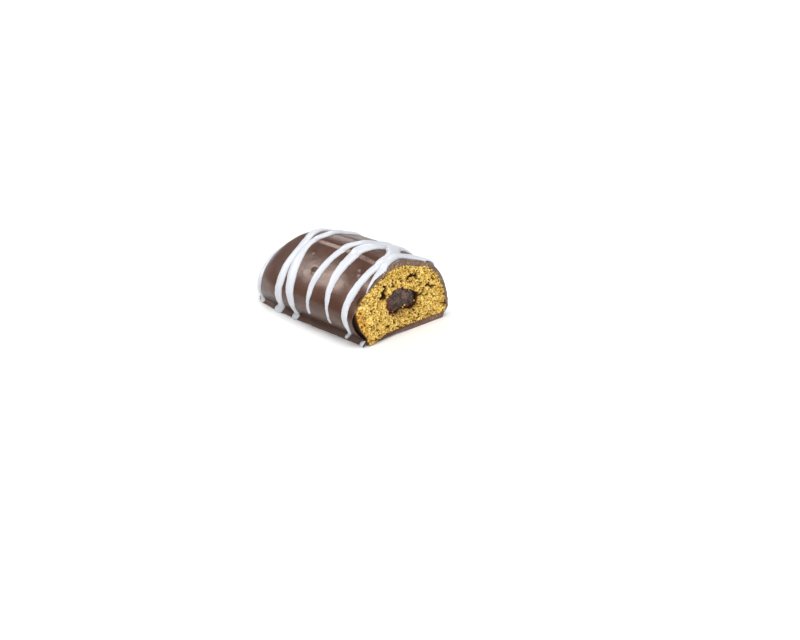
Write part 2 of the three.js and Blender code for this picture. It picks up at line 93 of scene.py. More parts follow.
def lumps(points: np.ndarray, size: float, seed: int) -> np.ndarray:
    """Smooth random relief in space.

    Args:
        points: Places, in millimetres, with X, Y and Z on the last axis.
        size: Distance between one lump and the next.
        seed: Which pattern.

    Returns:
        Values from about -1 to 1, one for each place.
    """
    period = 32
    table = np.random.default_rng(seed).uniform(-1.0, 1.0, (period, period, period))
    scaled = points / size + seed * 0.37
    cell = np.floor(scaled).astype(int)
    part = ease(scaled - cell)
    total = np.zeros(points.shape[:-1])
    for corner in np.ndindex(2, 2, 2):
        weight = np.ones(points.shape[:-1])
        for axis in range(3):
            side = part[..., axis] if corner[axis] else 1.0 - part[..., axis]
            weight = weight * side
        index = tuple((cell[..., axis] + corner[axis]) % period for axis in range(3))
        total += weight * table[index]
    return total


def layered(points: np.ndarray, size: float, seed: int, layers: int = 3) -> np.ndarray:
    """Lumps on lumps, each layer half as large and half as high as the one before.

    Args:
        points: Places, in millimetres.
        size: Size of the largest lumps.
        seed: Which pattern.
        layers: How many layers.

    Returns:
        Values from about -1 to 1.
    """
    total = np.zeros(points.shape[:-1])
    for k in range(layers):
        total += lumps(points, size / 2**k, seed + k) / 2**k
    return total / (2.0 - 2.0 ** (1 - layers))


def grid_normals(points: np.ndarray, outward_from: np.ndarray) -> np.ndarray:
    """Unit normals of a grid of points.

    Args:
        points: The grid, rows by columns by XYZ.
        outward_from: A place inside the body, for each point or for all.

    Returns:
        One normal for each point, turned away from the inside.
    """
    down = np.gradient(points, axis=0)
    along = np.gradient(points, axis=1)
    normal = np.cross(down, along)
    size = np.linalg.norm(normal, axis=-1, keepdims=True)
    normal = normal / np.maximum(size, 1e-9)
    facing = np.sum(normal * (points - outward_from), axis=-1, keepdims=True)
    return np.where(facing < 0.0, -normal, normal)


# ---------------------------------------------------------------- the loaf shape


@dataclass(frozen=True)
class Flank:
    """One side of the loaf: foot, crease above it, belly, and dome up to the ridge.

    Dome is the exponent of the curve from the belly to the ridge, hollow what it is inside the coat, and
    crown what it becomes at the very top, from the share crown_from of the way up.
    """

    foot: float
    crease: float
    crease_z: float
    wide: float
    wide_z: float
    dome: float
    hollow: float
    crown: float
    crown_from: float
    shift: float

    def inset(self, by: float, has_foot: bool) -> "Flank":
        """The same flank moved in.

        Args:
            by: How far, at the belly.
            has_foot: False for the hollow and the crumb, which go straight down from the crease.

        Returns:
            The new flank.
        """
        crease = self.crease - 0.3 * by
        foot = self.foot if has_foot else crease
        dome = self.dome if has_foot else self.hollow
        return replace(self, foot=foot, crease=crease, wide=self.wide - by, dome=dome)

    def stand(self, z: np.ndarray, top: float) -> np.ndarray:
        """How far the flank stands from Y = 0.

        Args:
            z: Levels.
            top: Level of the ridge.

        Returns:
            Distances, in millimetres.
        """
        low = self.foot + (self.crease - self.foot) * ease(z / self.crease_z)
        t = np.clip((z - self.crease_z) / (self.wide_z - self.crease_z), 0.0, 1.0)
        belly = self.wide - (self.wide - self.crease) * (1.0 - t) ** 2
        u = np.clip((z - self.wide_z) / (top - self.wide_z), 0.0, 1.0)
        passing = 0.14
        power = self.dome + (self.crown - self.dome) * ease((u - self.crown_from) / passing)
        dome = self.wide * np.maximum(0.0, 1.0 - u**power) ** (1.0 / power) + self.shift * u
        return np.where(z < self.crease_z, low, np.where(z < self.wide_z, belly, dome))


LEFT = Flank(foot=14.9, crease=14.2, crease_z=FOOT_TOP, wide=18.66, wide_z=8.9, dome=1.42, hollow=1.54,
             crown=1.82, crown_from=0.87, shift=RIDGE_SHIFT)
RIGHT = Flank(foot=15.4, crease=15.3, crease_z=1.0, wide=17.3, wide_z=3.5, dome=2.12, hollow=2.2,
              crown=1.66, crown_from=0.80, shift=-RIDGE_SHIFT)


@dataclass(frozen=True)
class LoafForm:
    """The long loaf, or a smaller copy of it for its hollow and its crumb.

    Side, top_inset and floor say how far the faces are moved in. Above shoulder_z the whole end leans back by
    end_lean, with the exponent end_rounding. The squarenesses are exponents of the rounded end in plan: near
    the ridge, just above the foot, and of the foot itself. The ridge loses the share end_sag of its height
    toward the whole end and is higher by swell behind the cut. Flare widens the foot toward the whole end.
    """

    side: float = 0.0
    top_inset: float = 0.0
    floor: float = 0.0
    has_foot: bool = True
    shoulder_z: float = 6.0
    end_lean: float = 16.9
    end_rounding: float = 2.6
    plan_squareness: float = 3.7
    low_squareness: float = 9.0
    square_drop: float = 3.7
    foot_squareness: float = 6.8
    end_sag: float = 0.225
    swell: float = 0.95
    swell_run: float = 9.0
    flare: float = 0.7
    flare_run: float = 35.0

    @property
    def top(self) -> float:
        """Level of the ridge."""
        return HEIGHT - self.top_inset

    @property
    def left(self) -> Flank:
        """The flank toward -Y."""
        return LEFT.inset(self.side, self.has_foot)

    @property
    def right(self) -> Flank:
        """The flank toward +Y."""
        return RIGHT.inset(self.side, self.has_foot)

    def plan(self, z: np.ndarray) -> dict[str, np.ndarray]:
        """The outline seen from above at given levels.

        Args:
            z: Levels.

        Returns:
            Middle, both flanks, reach, squareness and flare at each level.
        """
        u = np.clip((z - self.shoulder_z) / (self.top - self.shoulder_z), 0.0, 1.0)
        reach = REACH - 1.2 * self.side
        foot_reach = FOOT_REACH if self.has_foot else reach - 1.0
        waist = reach - 0.3
        body = waist + (reach - waist) * ease((z - FOOT_TOP) / (self.shoulder_z - FOOT_TOP))
        foot = foot_reach + (waist - foot_reach) * ease((z - 0.4) / 1.4)
        body = np.where(z < FOOT_TOP, foot, body)
        lean = 1.0 - np.maximum(0.0, 1.0 - u**self.end_rounding) ** (1.0 / self.end_rounding)
        body = np.where(z > self.shoulder_z, reach - self.end_lean * lean, body)
        square = self.low_squareness - self.plan_squareness
        fall = np.exp(-(np.maximum(z, FOOT_TOP) - FOOT_TOP) / self.square_drop)
        square = self.plan_squareness + square * fall
        square = self.foot_squareness + (square - self.foot_squareness) * ease((z - 0.8) / 1.0)
        return {
            "mid": -RIDGE_SHIFT * u,
            "left": self.left.stand(z, self.top),
            "right": self.right.stand(z, self.top),
            "reach": body,
            "power": square,
            "flare": self.flare * (1.0 - ease((z - 0.6) / 3.0)) * float(self.has_foot),
        }

    def lift(self, x: np.ndarray) -> np.ndarray:
        """True height over level: the ridge sags toward the whole end and swells behind the cut.

        Args:
            x: Stations along the loaf.

        Returns:
            One factor for each station.
        """
        back = np.abs(np.minimum(x, 0.0))
        sag = 1.0 - self.end_sag * (back / REACH) ** 3.6
        return sag + (self.swell / HEIGHT) * (1.0 - np.exp(-((back / self.swell_run) ** 2)))

    def holds(self, points: np.ndarray) -> np.ndarray:
        """Which places are inside the body.

        Args:
            points: Places, with X, Y and Z on the last axis.

        Returns:
            True for each place inside.
        """
        x, y, z = np.moveaxis(points, -1, 0)
        flat = z / self.lift(x)
        at = self.plan(np.clip(flat, self.floor, self.top - NOTHING))
        flare = at["flare"] * ease(np.abs(x) / self.flare_run)
        half = np.where(y < at["mid"], at["left"] + flare + at["mid"], at["right"] + flare - at["mid"])
        back = np.abs(np.minimum(x, 0.0)) / at["reach"]
        aside = np.abs(y - at["mid"]) / np.maximum(half, NOTHING)
        inside = back ** at["power"] + aside ** at["power"] < 1.0
        return inside & (flat >= self.floor) & (flat < self.top) & (half > 0.0)

    def cast(self, origin: np.ndarray, direction: np.ndarray) -> np.ndarray:
        """Where straight lines from inside leave the body.

        Args:
            origin: Starts, inside the body.
            direction: Unit directions.

        Returns:
            The surface points.
        """
        stride, strides, halvings = 0.5, 110, 16
        near = np.zeros(direction.shape[:-1])
        out = np.zeros(direction.shape[:-1], bool)
        for _ in range(strides):
            probe = origin + direction * (near + stride)[..., None]
            out |= ~self.holds(probe)
            near = np.where(out, near, near + stride)
        far = near + stride
        for _ in range(halvings):
            half = 0.5 * (near + far)
            inside = self.holds(origin + direction * half[..., None])
            near = np.where(inside, half, near)
            far = np.where(inside, far, half)
        return origin + direction * near[..., None]

    def levels(self, count: int) -> np.ndarray:
        """Levels at even distances along the left flank's profile.

        Args:
            count: How many.

        Returns:
            The levels, rising.
        """
        steps = 6000
        z = np.linspace(self.floor, self.top, steps)
        y = self.left.stand(z, self.top)
        arc = np.concatenate([[0.0], np.cumsum(np.hypot(np.diff(y), np.diff(z)))])
        return np.interp(np.linspace(0.0, arc[-1], count), arc, z)

    def rings(self, count: int, around: int) -> np.ndarray:
        """Plan outlines at rising levels, from the left of the cut round the whole end to its right.

        Args:
            count: How many levels.
            around: Points on each.

        Returns:
            Levels by points by XYZ.
        """
        z = self.levels(count)[:, None]
        phi = ((np.arange(around) / (around - 1)) - 0.5) * math.pi
        c = np.maximum(np.cos(phi), 0.0)[None, :]
        s = np.sin(phi)[None, :]
        c[:, 0] = c[:, -1] = 0.0
        at = self.plan(z)
        n = (c ** at["power"] + np.abs(s) ** at["power"]) ** (1.0 / at["power"])
        x = -at["reach"] * c / n
        across = s / n
        flare = at["flare"] * ease(np.abs(x) / self.flare_run)
        to_left = np.maximum(0.0, at["left"] + flare + at["mid"])
        to_right = np.maximum(0.0, at["right"] + flare - at["mid"])
        y = at["mid"] + across * np.where(s < 0.0, to_left, to_right)
        return np.stack([x, y, z * self.lift(x)], axis=-1)


OUTSIDE = LoafForm()
HOLLOW = LoafForm(side=1.05, top_inset=1.75, floor=1.75, has_foot=False)
CRUMB_FORM = LoafForm(side=0.9, top_inset=1.6, floor=1.6, has_foot=False)


@dataclass(frozen=True)
class Mark:
    """A dent or a swelling in the set chocolate."""

    x: float
    y: float
    z: float
    radius: float
    depth: float


MARKS = (
    Mark(0.3, -15.4, 13.6, 3.2, 0.75),
    Mark(-21.4, -13.1, 15.9, 0.62, 0.42),
    Mark(-20.8, -13.8, 15.2, 0.6, -0.20),
    Mark(-7.1, -9.0, 19.0, 0.6, -0.24),
    Mark(-6.0, -10.3, 18.2, 0.55, -0.20),
    Mark(-26.1, -8.9, 18.2, 0.6, -0.16),
    Mark(-16.4, -12.9, 15.9, 0.5, -0.14),
    Mark(-21.6, -15.0, 14.6, 3.4, -0.16),
    Mark(-8.2, -14.4, 15.0, 3.6, -0.16),
    Mark(-36.5, -15.0, 11.0, 3.2, -0.12),
    Mark(-15.0, 10.0, 18.0, 2.6, 0.2),
    Mark(-30.0, 14.0, 12.0, 2.8, 0.18),
)


def set_relief(points: np.ndarray) -> np.ndarray:
    """How far the set chocolate stands out from the even loaf.

    Args:
        points: Places on the even loaf.

    Returns:
        Heights, in millimetres, which fade out just above the foot.
    """
    rise = 0.11 * lumps(points, 7.0, 3) + 0.045 * lumps(points, 2.6, 4)
    for mark in MARKS:
        away = np.linalg.norm(points - np.array([mark.x, mark.y, mark.z]), axis=-1)
        rise = rise - mark.depth * np.exp(-((away / mark.radius) ** 2))
    level = 0.06
    return (rise - level) * ease((points[..., 2] - 1.2) / 2.5)


def forward(y: np.ndarray, z: np.ndarray) -> np.ndarray:
    """How far the crumb stands forward, at the lower left of the cut."""
    return BULGE * ease((-1.0 - y) / 9.0) * ease((11.0 - z) / 6.0)


def rim_station(y: np.ndarray, z: np.ndarray) -> np.ndarray:
    """Where the broken edge of the chocolate lies along X, round the cut.

    Args:
        y: Places across the loaf.
        z: Their levels.

    Returns:
        Stations along the loaf.
    """
    flat = np.stack([np.zeros_like(y), y, z], axis=-1)
    chipped = ease((-y - 13.8) / 2.4) * ease((z - 1.4) / 1.5) * ease((12.5 - z) / 3.0)
    ragged = 0.16 * layered(flat, 1.5, 21) + 0.10 * lumps(flat, 0.45, 25)
    corner = 0.7 * np.exp(-(((y - 12.2) / 1.7) ** 2) - ((z - 0.6) / 1.1) ** 2)
    base = BULGE * np.exp(-(((y + 8.5) / 4.0) ** 2)) * ease((4.0 - z) / 2.0)
    return ragged - RIM_SETBACK - 0.25 * chipped - corner + 0.9 * base


def crevice(y: np.ndarray, z: np.ndarray) -> np.ndarray:
    """Where the chocolate came away from the crumb, at the lower left of the cut: 0 to 1."""
    return ease((-y - 12.6) / 1.6) * ease((z - 0.9) / 1.2) * ease((11.5 - z) / 3.0)


# ---------------------------------------------------------------- mesh work


def alone(*things: Piece) -> None:
    """Selects these objects and nothing else, and makes the first the active one.

    Args:
        things: The objects.
    """
    bpy.ops.object.select_all(action="DESELECT")
    for thing in things:
        thing.select_set(True)
    bpy.context.view_layer.objects.active = things[0]


def sheet(name: str, points: np.ndarray) -> Piece:
    """A grid primitive laid over a grid of places.

    Args:
        name: Name of the new object.
        points: Rows by columns by XYZ, in millimetres, in the section frame.

    Returns:
        The object, in metres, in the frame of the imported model.
    """
    rows, columns = points.shape[:2]
    bpy.ops.object.select_all(action="DESELECT")
    bpy.ops.mesh.primitive_grid_add(x_subdivisions=columns - 1, y_subdivisions=rows - 1, size=0.04)
    made = bpy.context.object
    made.name = name
    made.data.name = name
    place(made, points.reshape(-1, 3))
    return made


def place(thing: Piece, points: np.ndarray) -> None:
    """Moves every vertex to its place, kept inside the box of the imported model.

    Args:
        thing: The object whose vertices move.
        points: One place for each vertex, in millimetres, in the section frame.
    """
    low, high = (np.array(corner) for corner in CAD_BOX)
    co = np.clip((points + ROW_SHIFT) * MM, low, high)
    thing.data.vertices.foreach_set("co", co.astype(np.float32).ravel())
    thing.data.update()


def held(thing: Piece) -> np.ndarray:
    """Every vertex's place as the mesh holds it.

    Args:
        thing: The object.

    Returns:
        Vertices by XYZ.
    """
    co = np.empty(len(thing.data.vertices) * 3, np.float32)
    thing.data.vertices.foreach_get("co", co)
    return co.reshape(-1, 3).astype(float)


def places(thing: Piece) -> np.ndarray:
    """Every vertex's place in the section frame, in millimetres."""
    return held(thing) / MM - ROW_SHIFT


def weld(parts: list[Piece], name: str, gap: float = 0.002) -> Piece:
    """Joins sheets along their shared edges into one skin with its faces outward.

    Args:
        parts: The sheets.
        name: Name of the result.
        gap: Vertices nearer than this become one, in millimetres.

    Returns:
        The welded object.
    """
    alone(*parts)
    if len(parts) > 1:
        bpy.ops.object.join()
    whole = bpy.context.object
    bpy.ops.object.mode_set(mode="EDIT")
    bpy.ops.mesh.select_all(action="SELECT")
    bpy.ops.mesh.remove_doubles(threshold=gap * MM)
    bpy.ops.mesh.normals_make_consistent(inside=False)
    bpy.ops.object.mode_set(mode="OBJECT")
    whole.name = name
    whole.data.name = name
    return whole


def smooth(thing: Piece, angle: float) -> None:
    """Shades a piece smooth except over edges sharper than an angle in degrees."""
    alone(thing)
    bpy.ops.object.shade_smooth_by_angle(angle=math.radians(angle))


def note(thing: Piece, name: str, values: np.ndarray) -> None:
    """Writes one number for each vertex, for the finish to read."""
    layer = thing.data.attributes.new(name, "FLOAT", "POINT")
    layer.data.foreach_set("value", values.astype(np.float32))


def dress(thing: Piece, finish: "Finish", slot: str, *nodes: str) -> None:
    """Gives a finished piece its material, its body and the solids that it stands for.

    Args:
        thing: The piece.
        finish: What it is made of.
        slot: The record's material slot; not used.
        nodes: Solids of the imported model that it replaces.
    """
    thing.data.materials.clear()
    thing.data.materials.append(finish.material())
    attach(thing, "root")
    if nodes:
        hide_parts(*nodes)
    LOG.info("%s: %d faces", thing.name, len(thing.data.polygons))


def sideways(angle: np.ndarray) -> np.ndarray:
    """Directions across the loaf, at angles that start toward +Y and turn up.

    Args:
        angle: Angles, in radians.

    Returns:
        Unit directions, with XYZ on the last axis.
    """
    return np.stack([np.zeros_like(angle), np.cos(angle), np.sin(angle)], axis=-1)


def upward(angle: np.ndarray) -> np.ndarray:
    """Directions across the loaf, at angles that start straight up and turn toward +Y.

    Args:
        angle: Angles, in radians.

    Returns:
        Unit directions, with XYZ on the last axis.
    """
    return np.stack([np.zeros_like(angle), np.sin(angle), np.cos(angle)], axis=-1)


def jam_ring(x: float | np.ndarray, angle: np.ndarray, radius: np.ndarray) -> np.ndarray:
    """Points round the jam's middle.

    Args:
        x: Their station, one for all or one for each.
        angle: Their angles, in radians.
        radius: Their distances from the middle.

    Returns:
        The points, with XYZ on the last axis.
    """
    y = JAM_Y + radius * np.cos(angle)
    z = JAM_Z + radius * np.sin(angle)
    return np.stack([x + 0.0 * radius, y, z], axis=-1)


def from_jam(points: np.ndarray) -> tuple[np.ndarray, np.ndarray]:
    """Where places lie round the jam's middle.

    Args:
        points: The places.

    Returns:
        Their angles and their distances from the middle.
    """
    y = points[..., 1] - JAM_Y
    z = points[..., 2] - JAM_Z
    return np.arctan2(z, y), np.hypot(y, z)


# ---------------------------------------------------------------- finishes


class Canvas:
    """A material's node tree, with short ways to add nodes and join them."""

    def __init__(self, name: str) -> None:
        """Starts an empty material of that name with a surface shader.

        Args:
            name: Name of the material.
        """
        self.material = bpy.data.materials.new(name)
        self.material.use_nodes = True
        self.tree = self.material.node_tree
        self.shader = self.tree.nodes["Principled BSDF"]
        self.where = self.add("ShaderNodeTexCoord").outputs["Object"]

    def add(self, kind: str, **settings: object) -> bpy.types.Node:
        """Adds a node.

        Args:
            kind: Blender's name of the node type.
            settings: Properties to set on it.

        Returns:
            The node.
        """
        node = self.tree.nodes.new(kind)
        for key, value in settings.items():
            setattr(node, key, value)
        return node

    def join(self, source: Socket, target: Socket) -> None:
        """Links one socket to another."""
        self.tree.links.new(source, target)

    def noise(self, scale: float, detail: float = 4.0, rough: float = 0.55) -> Socket:
        """Soft noise.

        Args:
            scale: Lumps to the metre.
            detail: Finer layers on top of the first.
            rough: How strong they are.

        Returns:
            Values about 0.5.
        """
        node = self.add("ShaderNodeTexNoise")
        self.join(self.where, node.inputs["Vector"])
        node.inputs["Scale"].default_value = scale
        node.inputs["Detail"].default_value = detail
        node.inputs["Roughness"].default_value = rough
        return node.outputs["Fac"]

    def cells(self, scale: float) -> Socket:
        """Distance to the nearest of scattered points.

        Args:
            scale: Points to the metre.

        Returns:
            The distance, as a share of their spacing.
        """
        node = self.add("ShaderNodeTexVoronoi", feature="F1")
        self.join(self.where, node.inputs["Vector"])
        node.inputs["Scale"].default_value = scale
        return node.outputs["Distance"]

    def noted(self, name: str) -> Socket:
        """A number written on the piece's vertices."""
        return self.add("ShaderNodeAttribute", attribute_name=name).outputs["Fac"]

    def band(self, value: Socket, low: float, high: float) -> Socket:
        """A value stretched softly.

        Args:
            value: The value.
            low: What becomes 0.
            high: What becomes 1.

        Returns:
            Values from 0 to 1.
        """
        node = self.add("ShaderNodeMapRange", interpolation_type="SMOOTHSTEP")
        self.join(value, node.inputs["Value"])
        node.inputs["From Min"].default_value = low
        node.inputs["From Max"].default_value = high
        return node.outputs["Result"]

    def span(self, value: Socket, low: float, high: float) -> Socket:
        """A value from 0 to 1 carried to another span.

        Args:
            value: The value.
            low: What 0 becomes.
            high: What 1 becomes.

        Returns:
            Values from low to high.
        """
        node = self.add("ShaderNodeMapRange")
        self.join(value, node.inputs["Value"])
        node.inputs["To Min"].default_value = low
        node.inputs["To Max"].default_value = high
        return node.outputs["Result"]

    def times(self, a: Socket, b: Socket) -> Socket:
        """The product of two values.

        Args:
            a: One value.
            b: The other.

        Returns:
            The product.
        """
        node = self.add("ShaderNodeMath", operation="MULTIPLY")
        self.join(a, node.inputs[0])
        self.join(b, node.inputs[1])
        return node.outputs[0]

    def blend(self, share: Socket, a: object, b: object) -> Socket:
        """One colour passing into another.

        Args:
            share: 0 for the first colour, 1 for the second.
            a: A colour or a socket.
            b: A colour or a socket.

        Returns:
            The mixed colour.
        """
        node = self.add("ShaderNodeMix", data_type="RGBA")
        self.join(share, node.inputs[0])
        for value, socket in ((a, node.inputs[6]), (b, node.inputs[7])):
            if isinstance(value, Socket):
                self.join(value, socket)
            else:
                socket.default_value = (*value, 1.0)
        return node.outputs[2]

    def bump(self, layers: list[tuple[Socket, float]]) -> None:
        """Fine relief on the surface.

        Args:
            layers: Heights and how many metres each stands for.
        """
        normal = None
        for height, depth in layers:
            node = self.add("ShaderNodeBump")
            self.join(height, node.inputs["Height"])
            node.inputs["Distance"].default_value = depth
            node.inputs["Strength"].default_value = 1.0
            if normal is not None:
                self.join(normal, node.inputs["Normal"])
            normal = node.outputs["Normal"]
        self.join(normal, self.shader.inputs["Normal"])

    def patches(self, scale: float, detail: float, low: float, high: float, rough: float = 0.55) -> Socket:
        """Soft patches of noise.

        Args:
            scale: Lumps to the metre.
            detail: Finer layers on top of the first.
            low: Noise at which a patch begins.
            high: Noise at which it is full.
            rough: How strong the finer layers are.

        Returns:
            Values from 0 to 1.
        """
        return self.band(self.noise(scale, detail, rough), low, high)

    def finish(self, colour: Socket, roughness: Socket | None = None) -> None:
        """Joins the colour, and the roughness where it varies, to the shader.

        Args:
            colour: The colour.
            roughness: The roughness, or None where it is even.
        """
        self.join(colour, self.shader.inputs["Base Color"])
        if roughness is not None:
            self.join(roughness, self.shader.inputs["Roughness"])

    def set(self, **values: float | tuple[float, ...]) -> None:
        """Sets plain numbers and colours on the shader's own sockets."""
        for key, value in values.items():
            self.shader.inputs[key.replace("_", " ")].default_value = value


Colour = tuple[float, float, float]


@dataclass(frozen=True)
class Finish:
    """What a piece is made of."""

    name: str

    def material(self) -> bpy.types.Material:
        """The node material."""
        raise NotImplementedError


@dataclass(frozen=True)
class ChocolateFinish(Finish):
    """Set dark chocolate: satin, faintly bloomed, dull and lighter where it broke, with painted light on the
    foot and painted shade in the crease.
    """

    deep: Colour = (0.062, 0.0255, 0.0165)
    # Bloom, also used as painted light on the up-facing foot lip.
    fair: Colour = (0.092, 0.041, 0.028)
    bloom_and_foot_light: Colour = (0.142, 0.086, 0.066)
    speck: Colour = (0.30, 0.21, 0.16)
    broken: Colour = (0.145, 0.085, 0.060)
    # Painted shade for the crease above the foot.
    dust: Colour = (0.42, 0.29, 0.16)
    crease: Colour = (0.018, 0.009, 0.006)
    sheen: Colour = (1.0, 0.80, 0.68)
    smoothest: float = 0.23
    roughest: float = 0.37

    def material(self) -> bpy.types.Material:
        """Mottled brown with soft bloom, tiny specks, painted light on the foot, painted shade in the crease
        and a fine skin.

        Returns:
            The material.
        """
        c = Canvas(self.name)
        base = c.blend(c.patches(150.0, 5.0, 0.32, 0.70), self.deep, self.fair)
        clouds = c.patches(90.0, 3.0, 0.52, 0.78, rough=0.5)
        base = c.blend(c.span(clouds, 0.0, 0.3), base, self.bloom_and_foot_light)
        specks = c.span(c.band(c.cells(900.0), 0.16, 0.06), 0.0, 0.55)
        base = c.blend(c.times(specks, c.patches(260.0, 2.0, 0.60, 0.68)), base, self.speck)
        # Painted light: the foot lip lighter as if lit from above. Painted shade: the crease over it
        # darkened. The broken face is lighter chocolate.
        for part, share, colour in (
            ("foot", 0.6, self.bloom_and_foot_light), ("crease", 0.85, self.crease), ("broken", 0.9, self.broken),
        ):
            base = c.blend(c.span(c.noted(part), 0.0, share), base, colour)
        dusty = c.times(c.patches(1900.0, 4.0, 0.46, 0.66), c.patches(330.0, 3.0, 0.40, 0.60))
        base = c.blend(c.times(c.noted("broken"), c.span(dusty, 0.0, 0.9)), base, self.dust)
        c.finish(base, c.span(c.noise(420.0, 4.0), self.smoothest, self.roughest))
        c.set(Specular_IOR_Level=0.38, Specular_Tint=(*self.sheen, 1.0))
        c.bump([(c.noise(520.0, 4.0), 0.00006), (c.noise(2600.0, 2.0), 0.000012)])
        return c.material


@dataclass(frozen=True)
class IcingFinish(Finish):
    """Set white icing: smooth, faintly blue, greyer at its thin edges, partly the chocolate showing through
    and partly painted shade.
    """

    thick: Colour = (0.60, 0.615, 0.65)
    # Greyer colour of the thin edges: partly show-through, partly painted shade.
    thin: Colour = (0.40, 0.42, 0.455)
    cloud: Colour = (0.54, 0.56, 0.60)
    smoothest: float = 0.28
    roughest: float = 0.42

    def material(self) -> bpy.types.Material:
        """White, greyed at its thin edges by the chocolate showing faintly through and by painted shade where
        they round down.

        Returns:
            The material.
        """
        c = Canvas(self.name)
        # Thin edges greyed: partly the chocolate showing through, partly painted shade on the rounded edge.
        base = c.blend(c.band(c.noted("thickness"), 0.05, 0.60), self.thin, self.thick)
        clouds = c.span(c.patches(220.0, 3.0, 0.35, 0.75), 0.0, 0.25)
        base = c.blend(clouds, base, self.cloud)
        c.finish(base, c.span(c.noise(600.0, 3.0), self.smoothest, self.roughest))
        c.set(Specular_IOR_Level=0.45)
        c.bump([(c.noise(700.0, 3.0), 0.00003)])
        return c.material


@dataclass(frozen=True)
class CrumbFinish(Finish):
    """Baked gingerbread crumb: golden walls with painted highlights, painted shade in the pores, stained
    round the jam and toasted at the edge.
    """

    bright: Colour = (0.96, 0.72, 0.235)
    golden: Colour = (0.58, 0.345, 0.042)
    warm: Colour = (0.60, 0.325, 0.036)
    # Painted highlight colour on the walls of the grains.
    grain: Colour = (1.0, 0.84, 0.42)
    stained: Colour = (0.20, 0.075, 0.034)
    toasted: Colour = (0.70, 0.27, 0.018)
    # Painted shade in the pores: the finest as dark dots, the others brown to near black with depth.
    fine_pore_shade: Colour = (0.07, 0.026, 0.004)
    brown: Colour = (0.125, 0.052, 0.007)
    pit_shade: Colour = (0.022, 0.010, 0.004)

    def material(self) -> bpy.types.Material:
        """Matt crumb with painted shade that deepens with the depth of its pores, and painted highlights on
        its grains.

        Returns:
            The material.
        """
        c = Canvas(self.name)
        base = c.blend(c.patches(1700.0, 4.0, 0.42, 0.60, rough=0.6), self.golden, self.bright)
        base = c.blend(c.span(c.patches(170.0, 3.0, 0.4, 0.7), 0.0, 0.35), base, self.warm)
        # Painted highlight: bright specks on the walls of the grains.
        grains = c.times(c.band(c.cells(2900.0), 0.30, 0.12), c.patches(1500.0, 2.0, 0.48, 0.60))
        base = c.blend(c.span(grains, 0.0, 0.75), base, self.grain)
        base = c.blend(c.span(c.noted("stain"), 0.0, 0.85), base, self.stained)
        base = c.blend(c.span(c.noted("toast"), 0.0, 0.8), base, self.toasted)
        # Painted shade: dark dots in the finest pores.
        fine_pore_shade_dots = c.times(c.band(c.cells(2000.0), 0.36, 0.16), c.patches(1000.0, 3.0, 0.40, 0.54))
        base = c.blend(fine_pore_shade_dots, base, self.fine_pore_shade)
        # Painted shade: brown, then near black, the deeper the pore lies.
        base = c.blend(c.band(c.noted("pore_shade"), 0.14, 0.55), base, self.brown)
        base = c.blend(c.band(c.noted("pore_shade"), 0.55, 0.95), base, self.pit_shade)
        c.finish(base)
        c.set(Roughness=0.86, Specular_IOR_Level=0.25)
        c.bump([(c.noise(2100.0, 4.0, 0.65), 0.00012)])
        return c.material


@dataclass(frozen=True)
class JamFinish(Finish):
    """Dark fruit jam: almost black, wet, red where light gets through."""

    dark: Colour = (0.020, 0.009, 0.007)
    red: Colour = (0.13, 0.022, 0.008)
    dull: Colour = (0.135, 0.076, 0.062)
    gloss: Colour = (1.0, 0.80, 0.68)
    smoothest: float = 0.06
    roughest: float = 0.40

    def material(self) -> bpy.types.Material:
        """Glossy lumps with duller skins between.

        Returns:
            The material.
        """
        c = Canvas(self.name)
        base = c.blend(c.patches(430.0, 5.0, 0.44, 0.66, rough=0.6), self.dark, self.dull)
        base = c.blend(c.noted("rim"), base, self.red)
        c.finish(base, c.span(c.noise(800.0, 3.0), self.smoothest, self.roughest))
        c.set(Specular_IOR_Level=0.55, Specular_Tint=(*self.gloss, 1.0))
        c.bump([(c.noise(900.0, 4.0), 0.00034)])
        return c.material


@dataclass(frozen=True)
class FloorFinish(Finish):
    """The plain pale floor."""

    tone: float = 0.93
    uneven: float = 0.01

    def material(self) -> bpy.types.Material:
        """Even matt white with a trace of unevenness.

        Returns:
            The material.
        """
        c = Canvas(self.name)
        c.finish(c.blend(c.noise(3.0, 2.0), (self.tone,) * 3, (self.tone - self.uneven,) * 3))
        c.set(Roughness=0.9, Specular_IOR_Level=0.1)
        return c.material


# ---------------------------------------------------------------- the chocolate


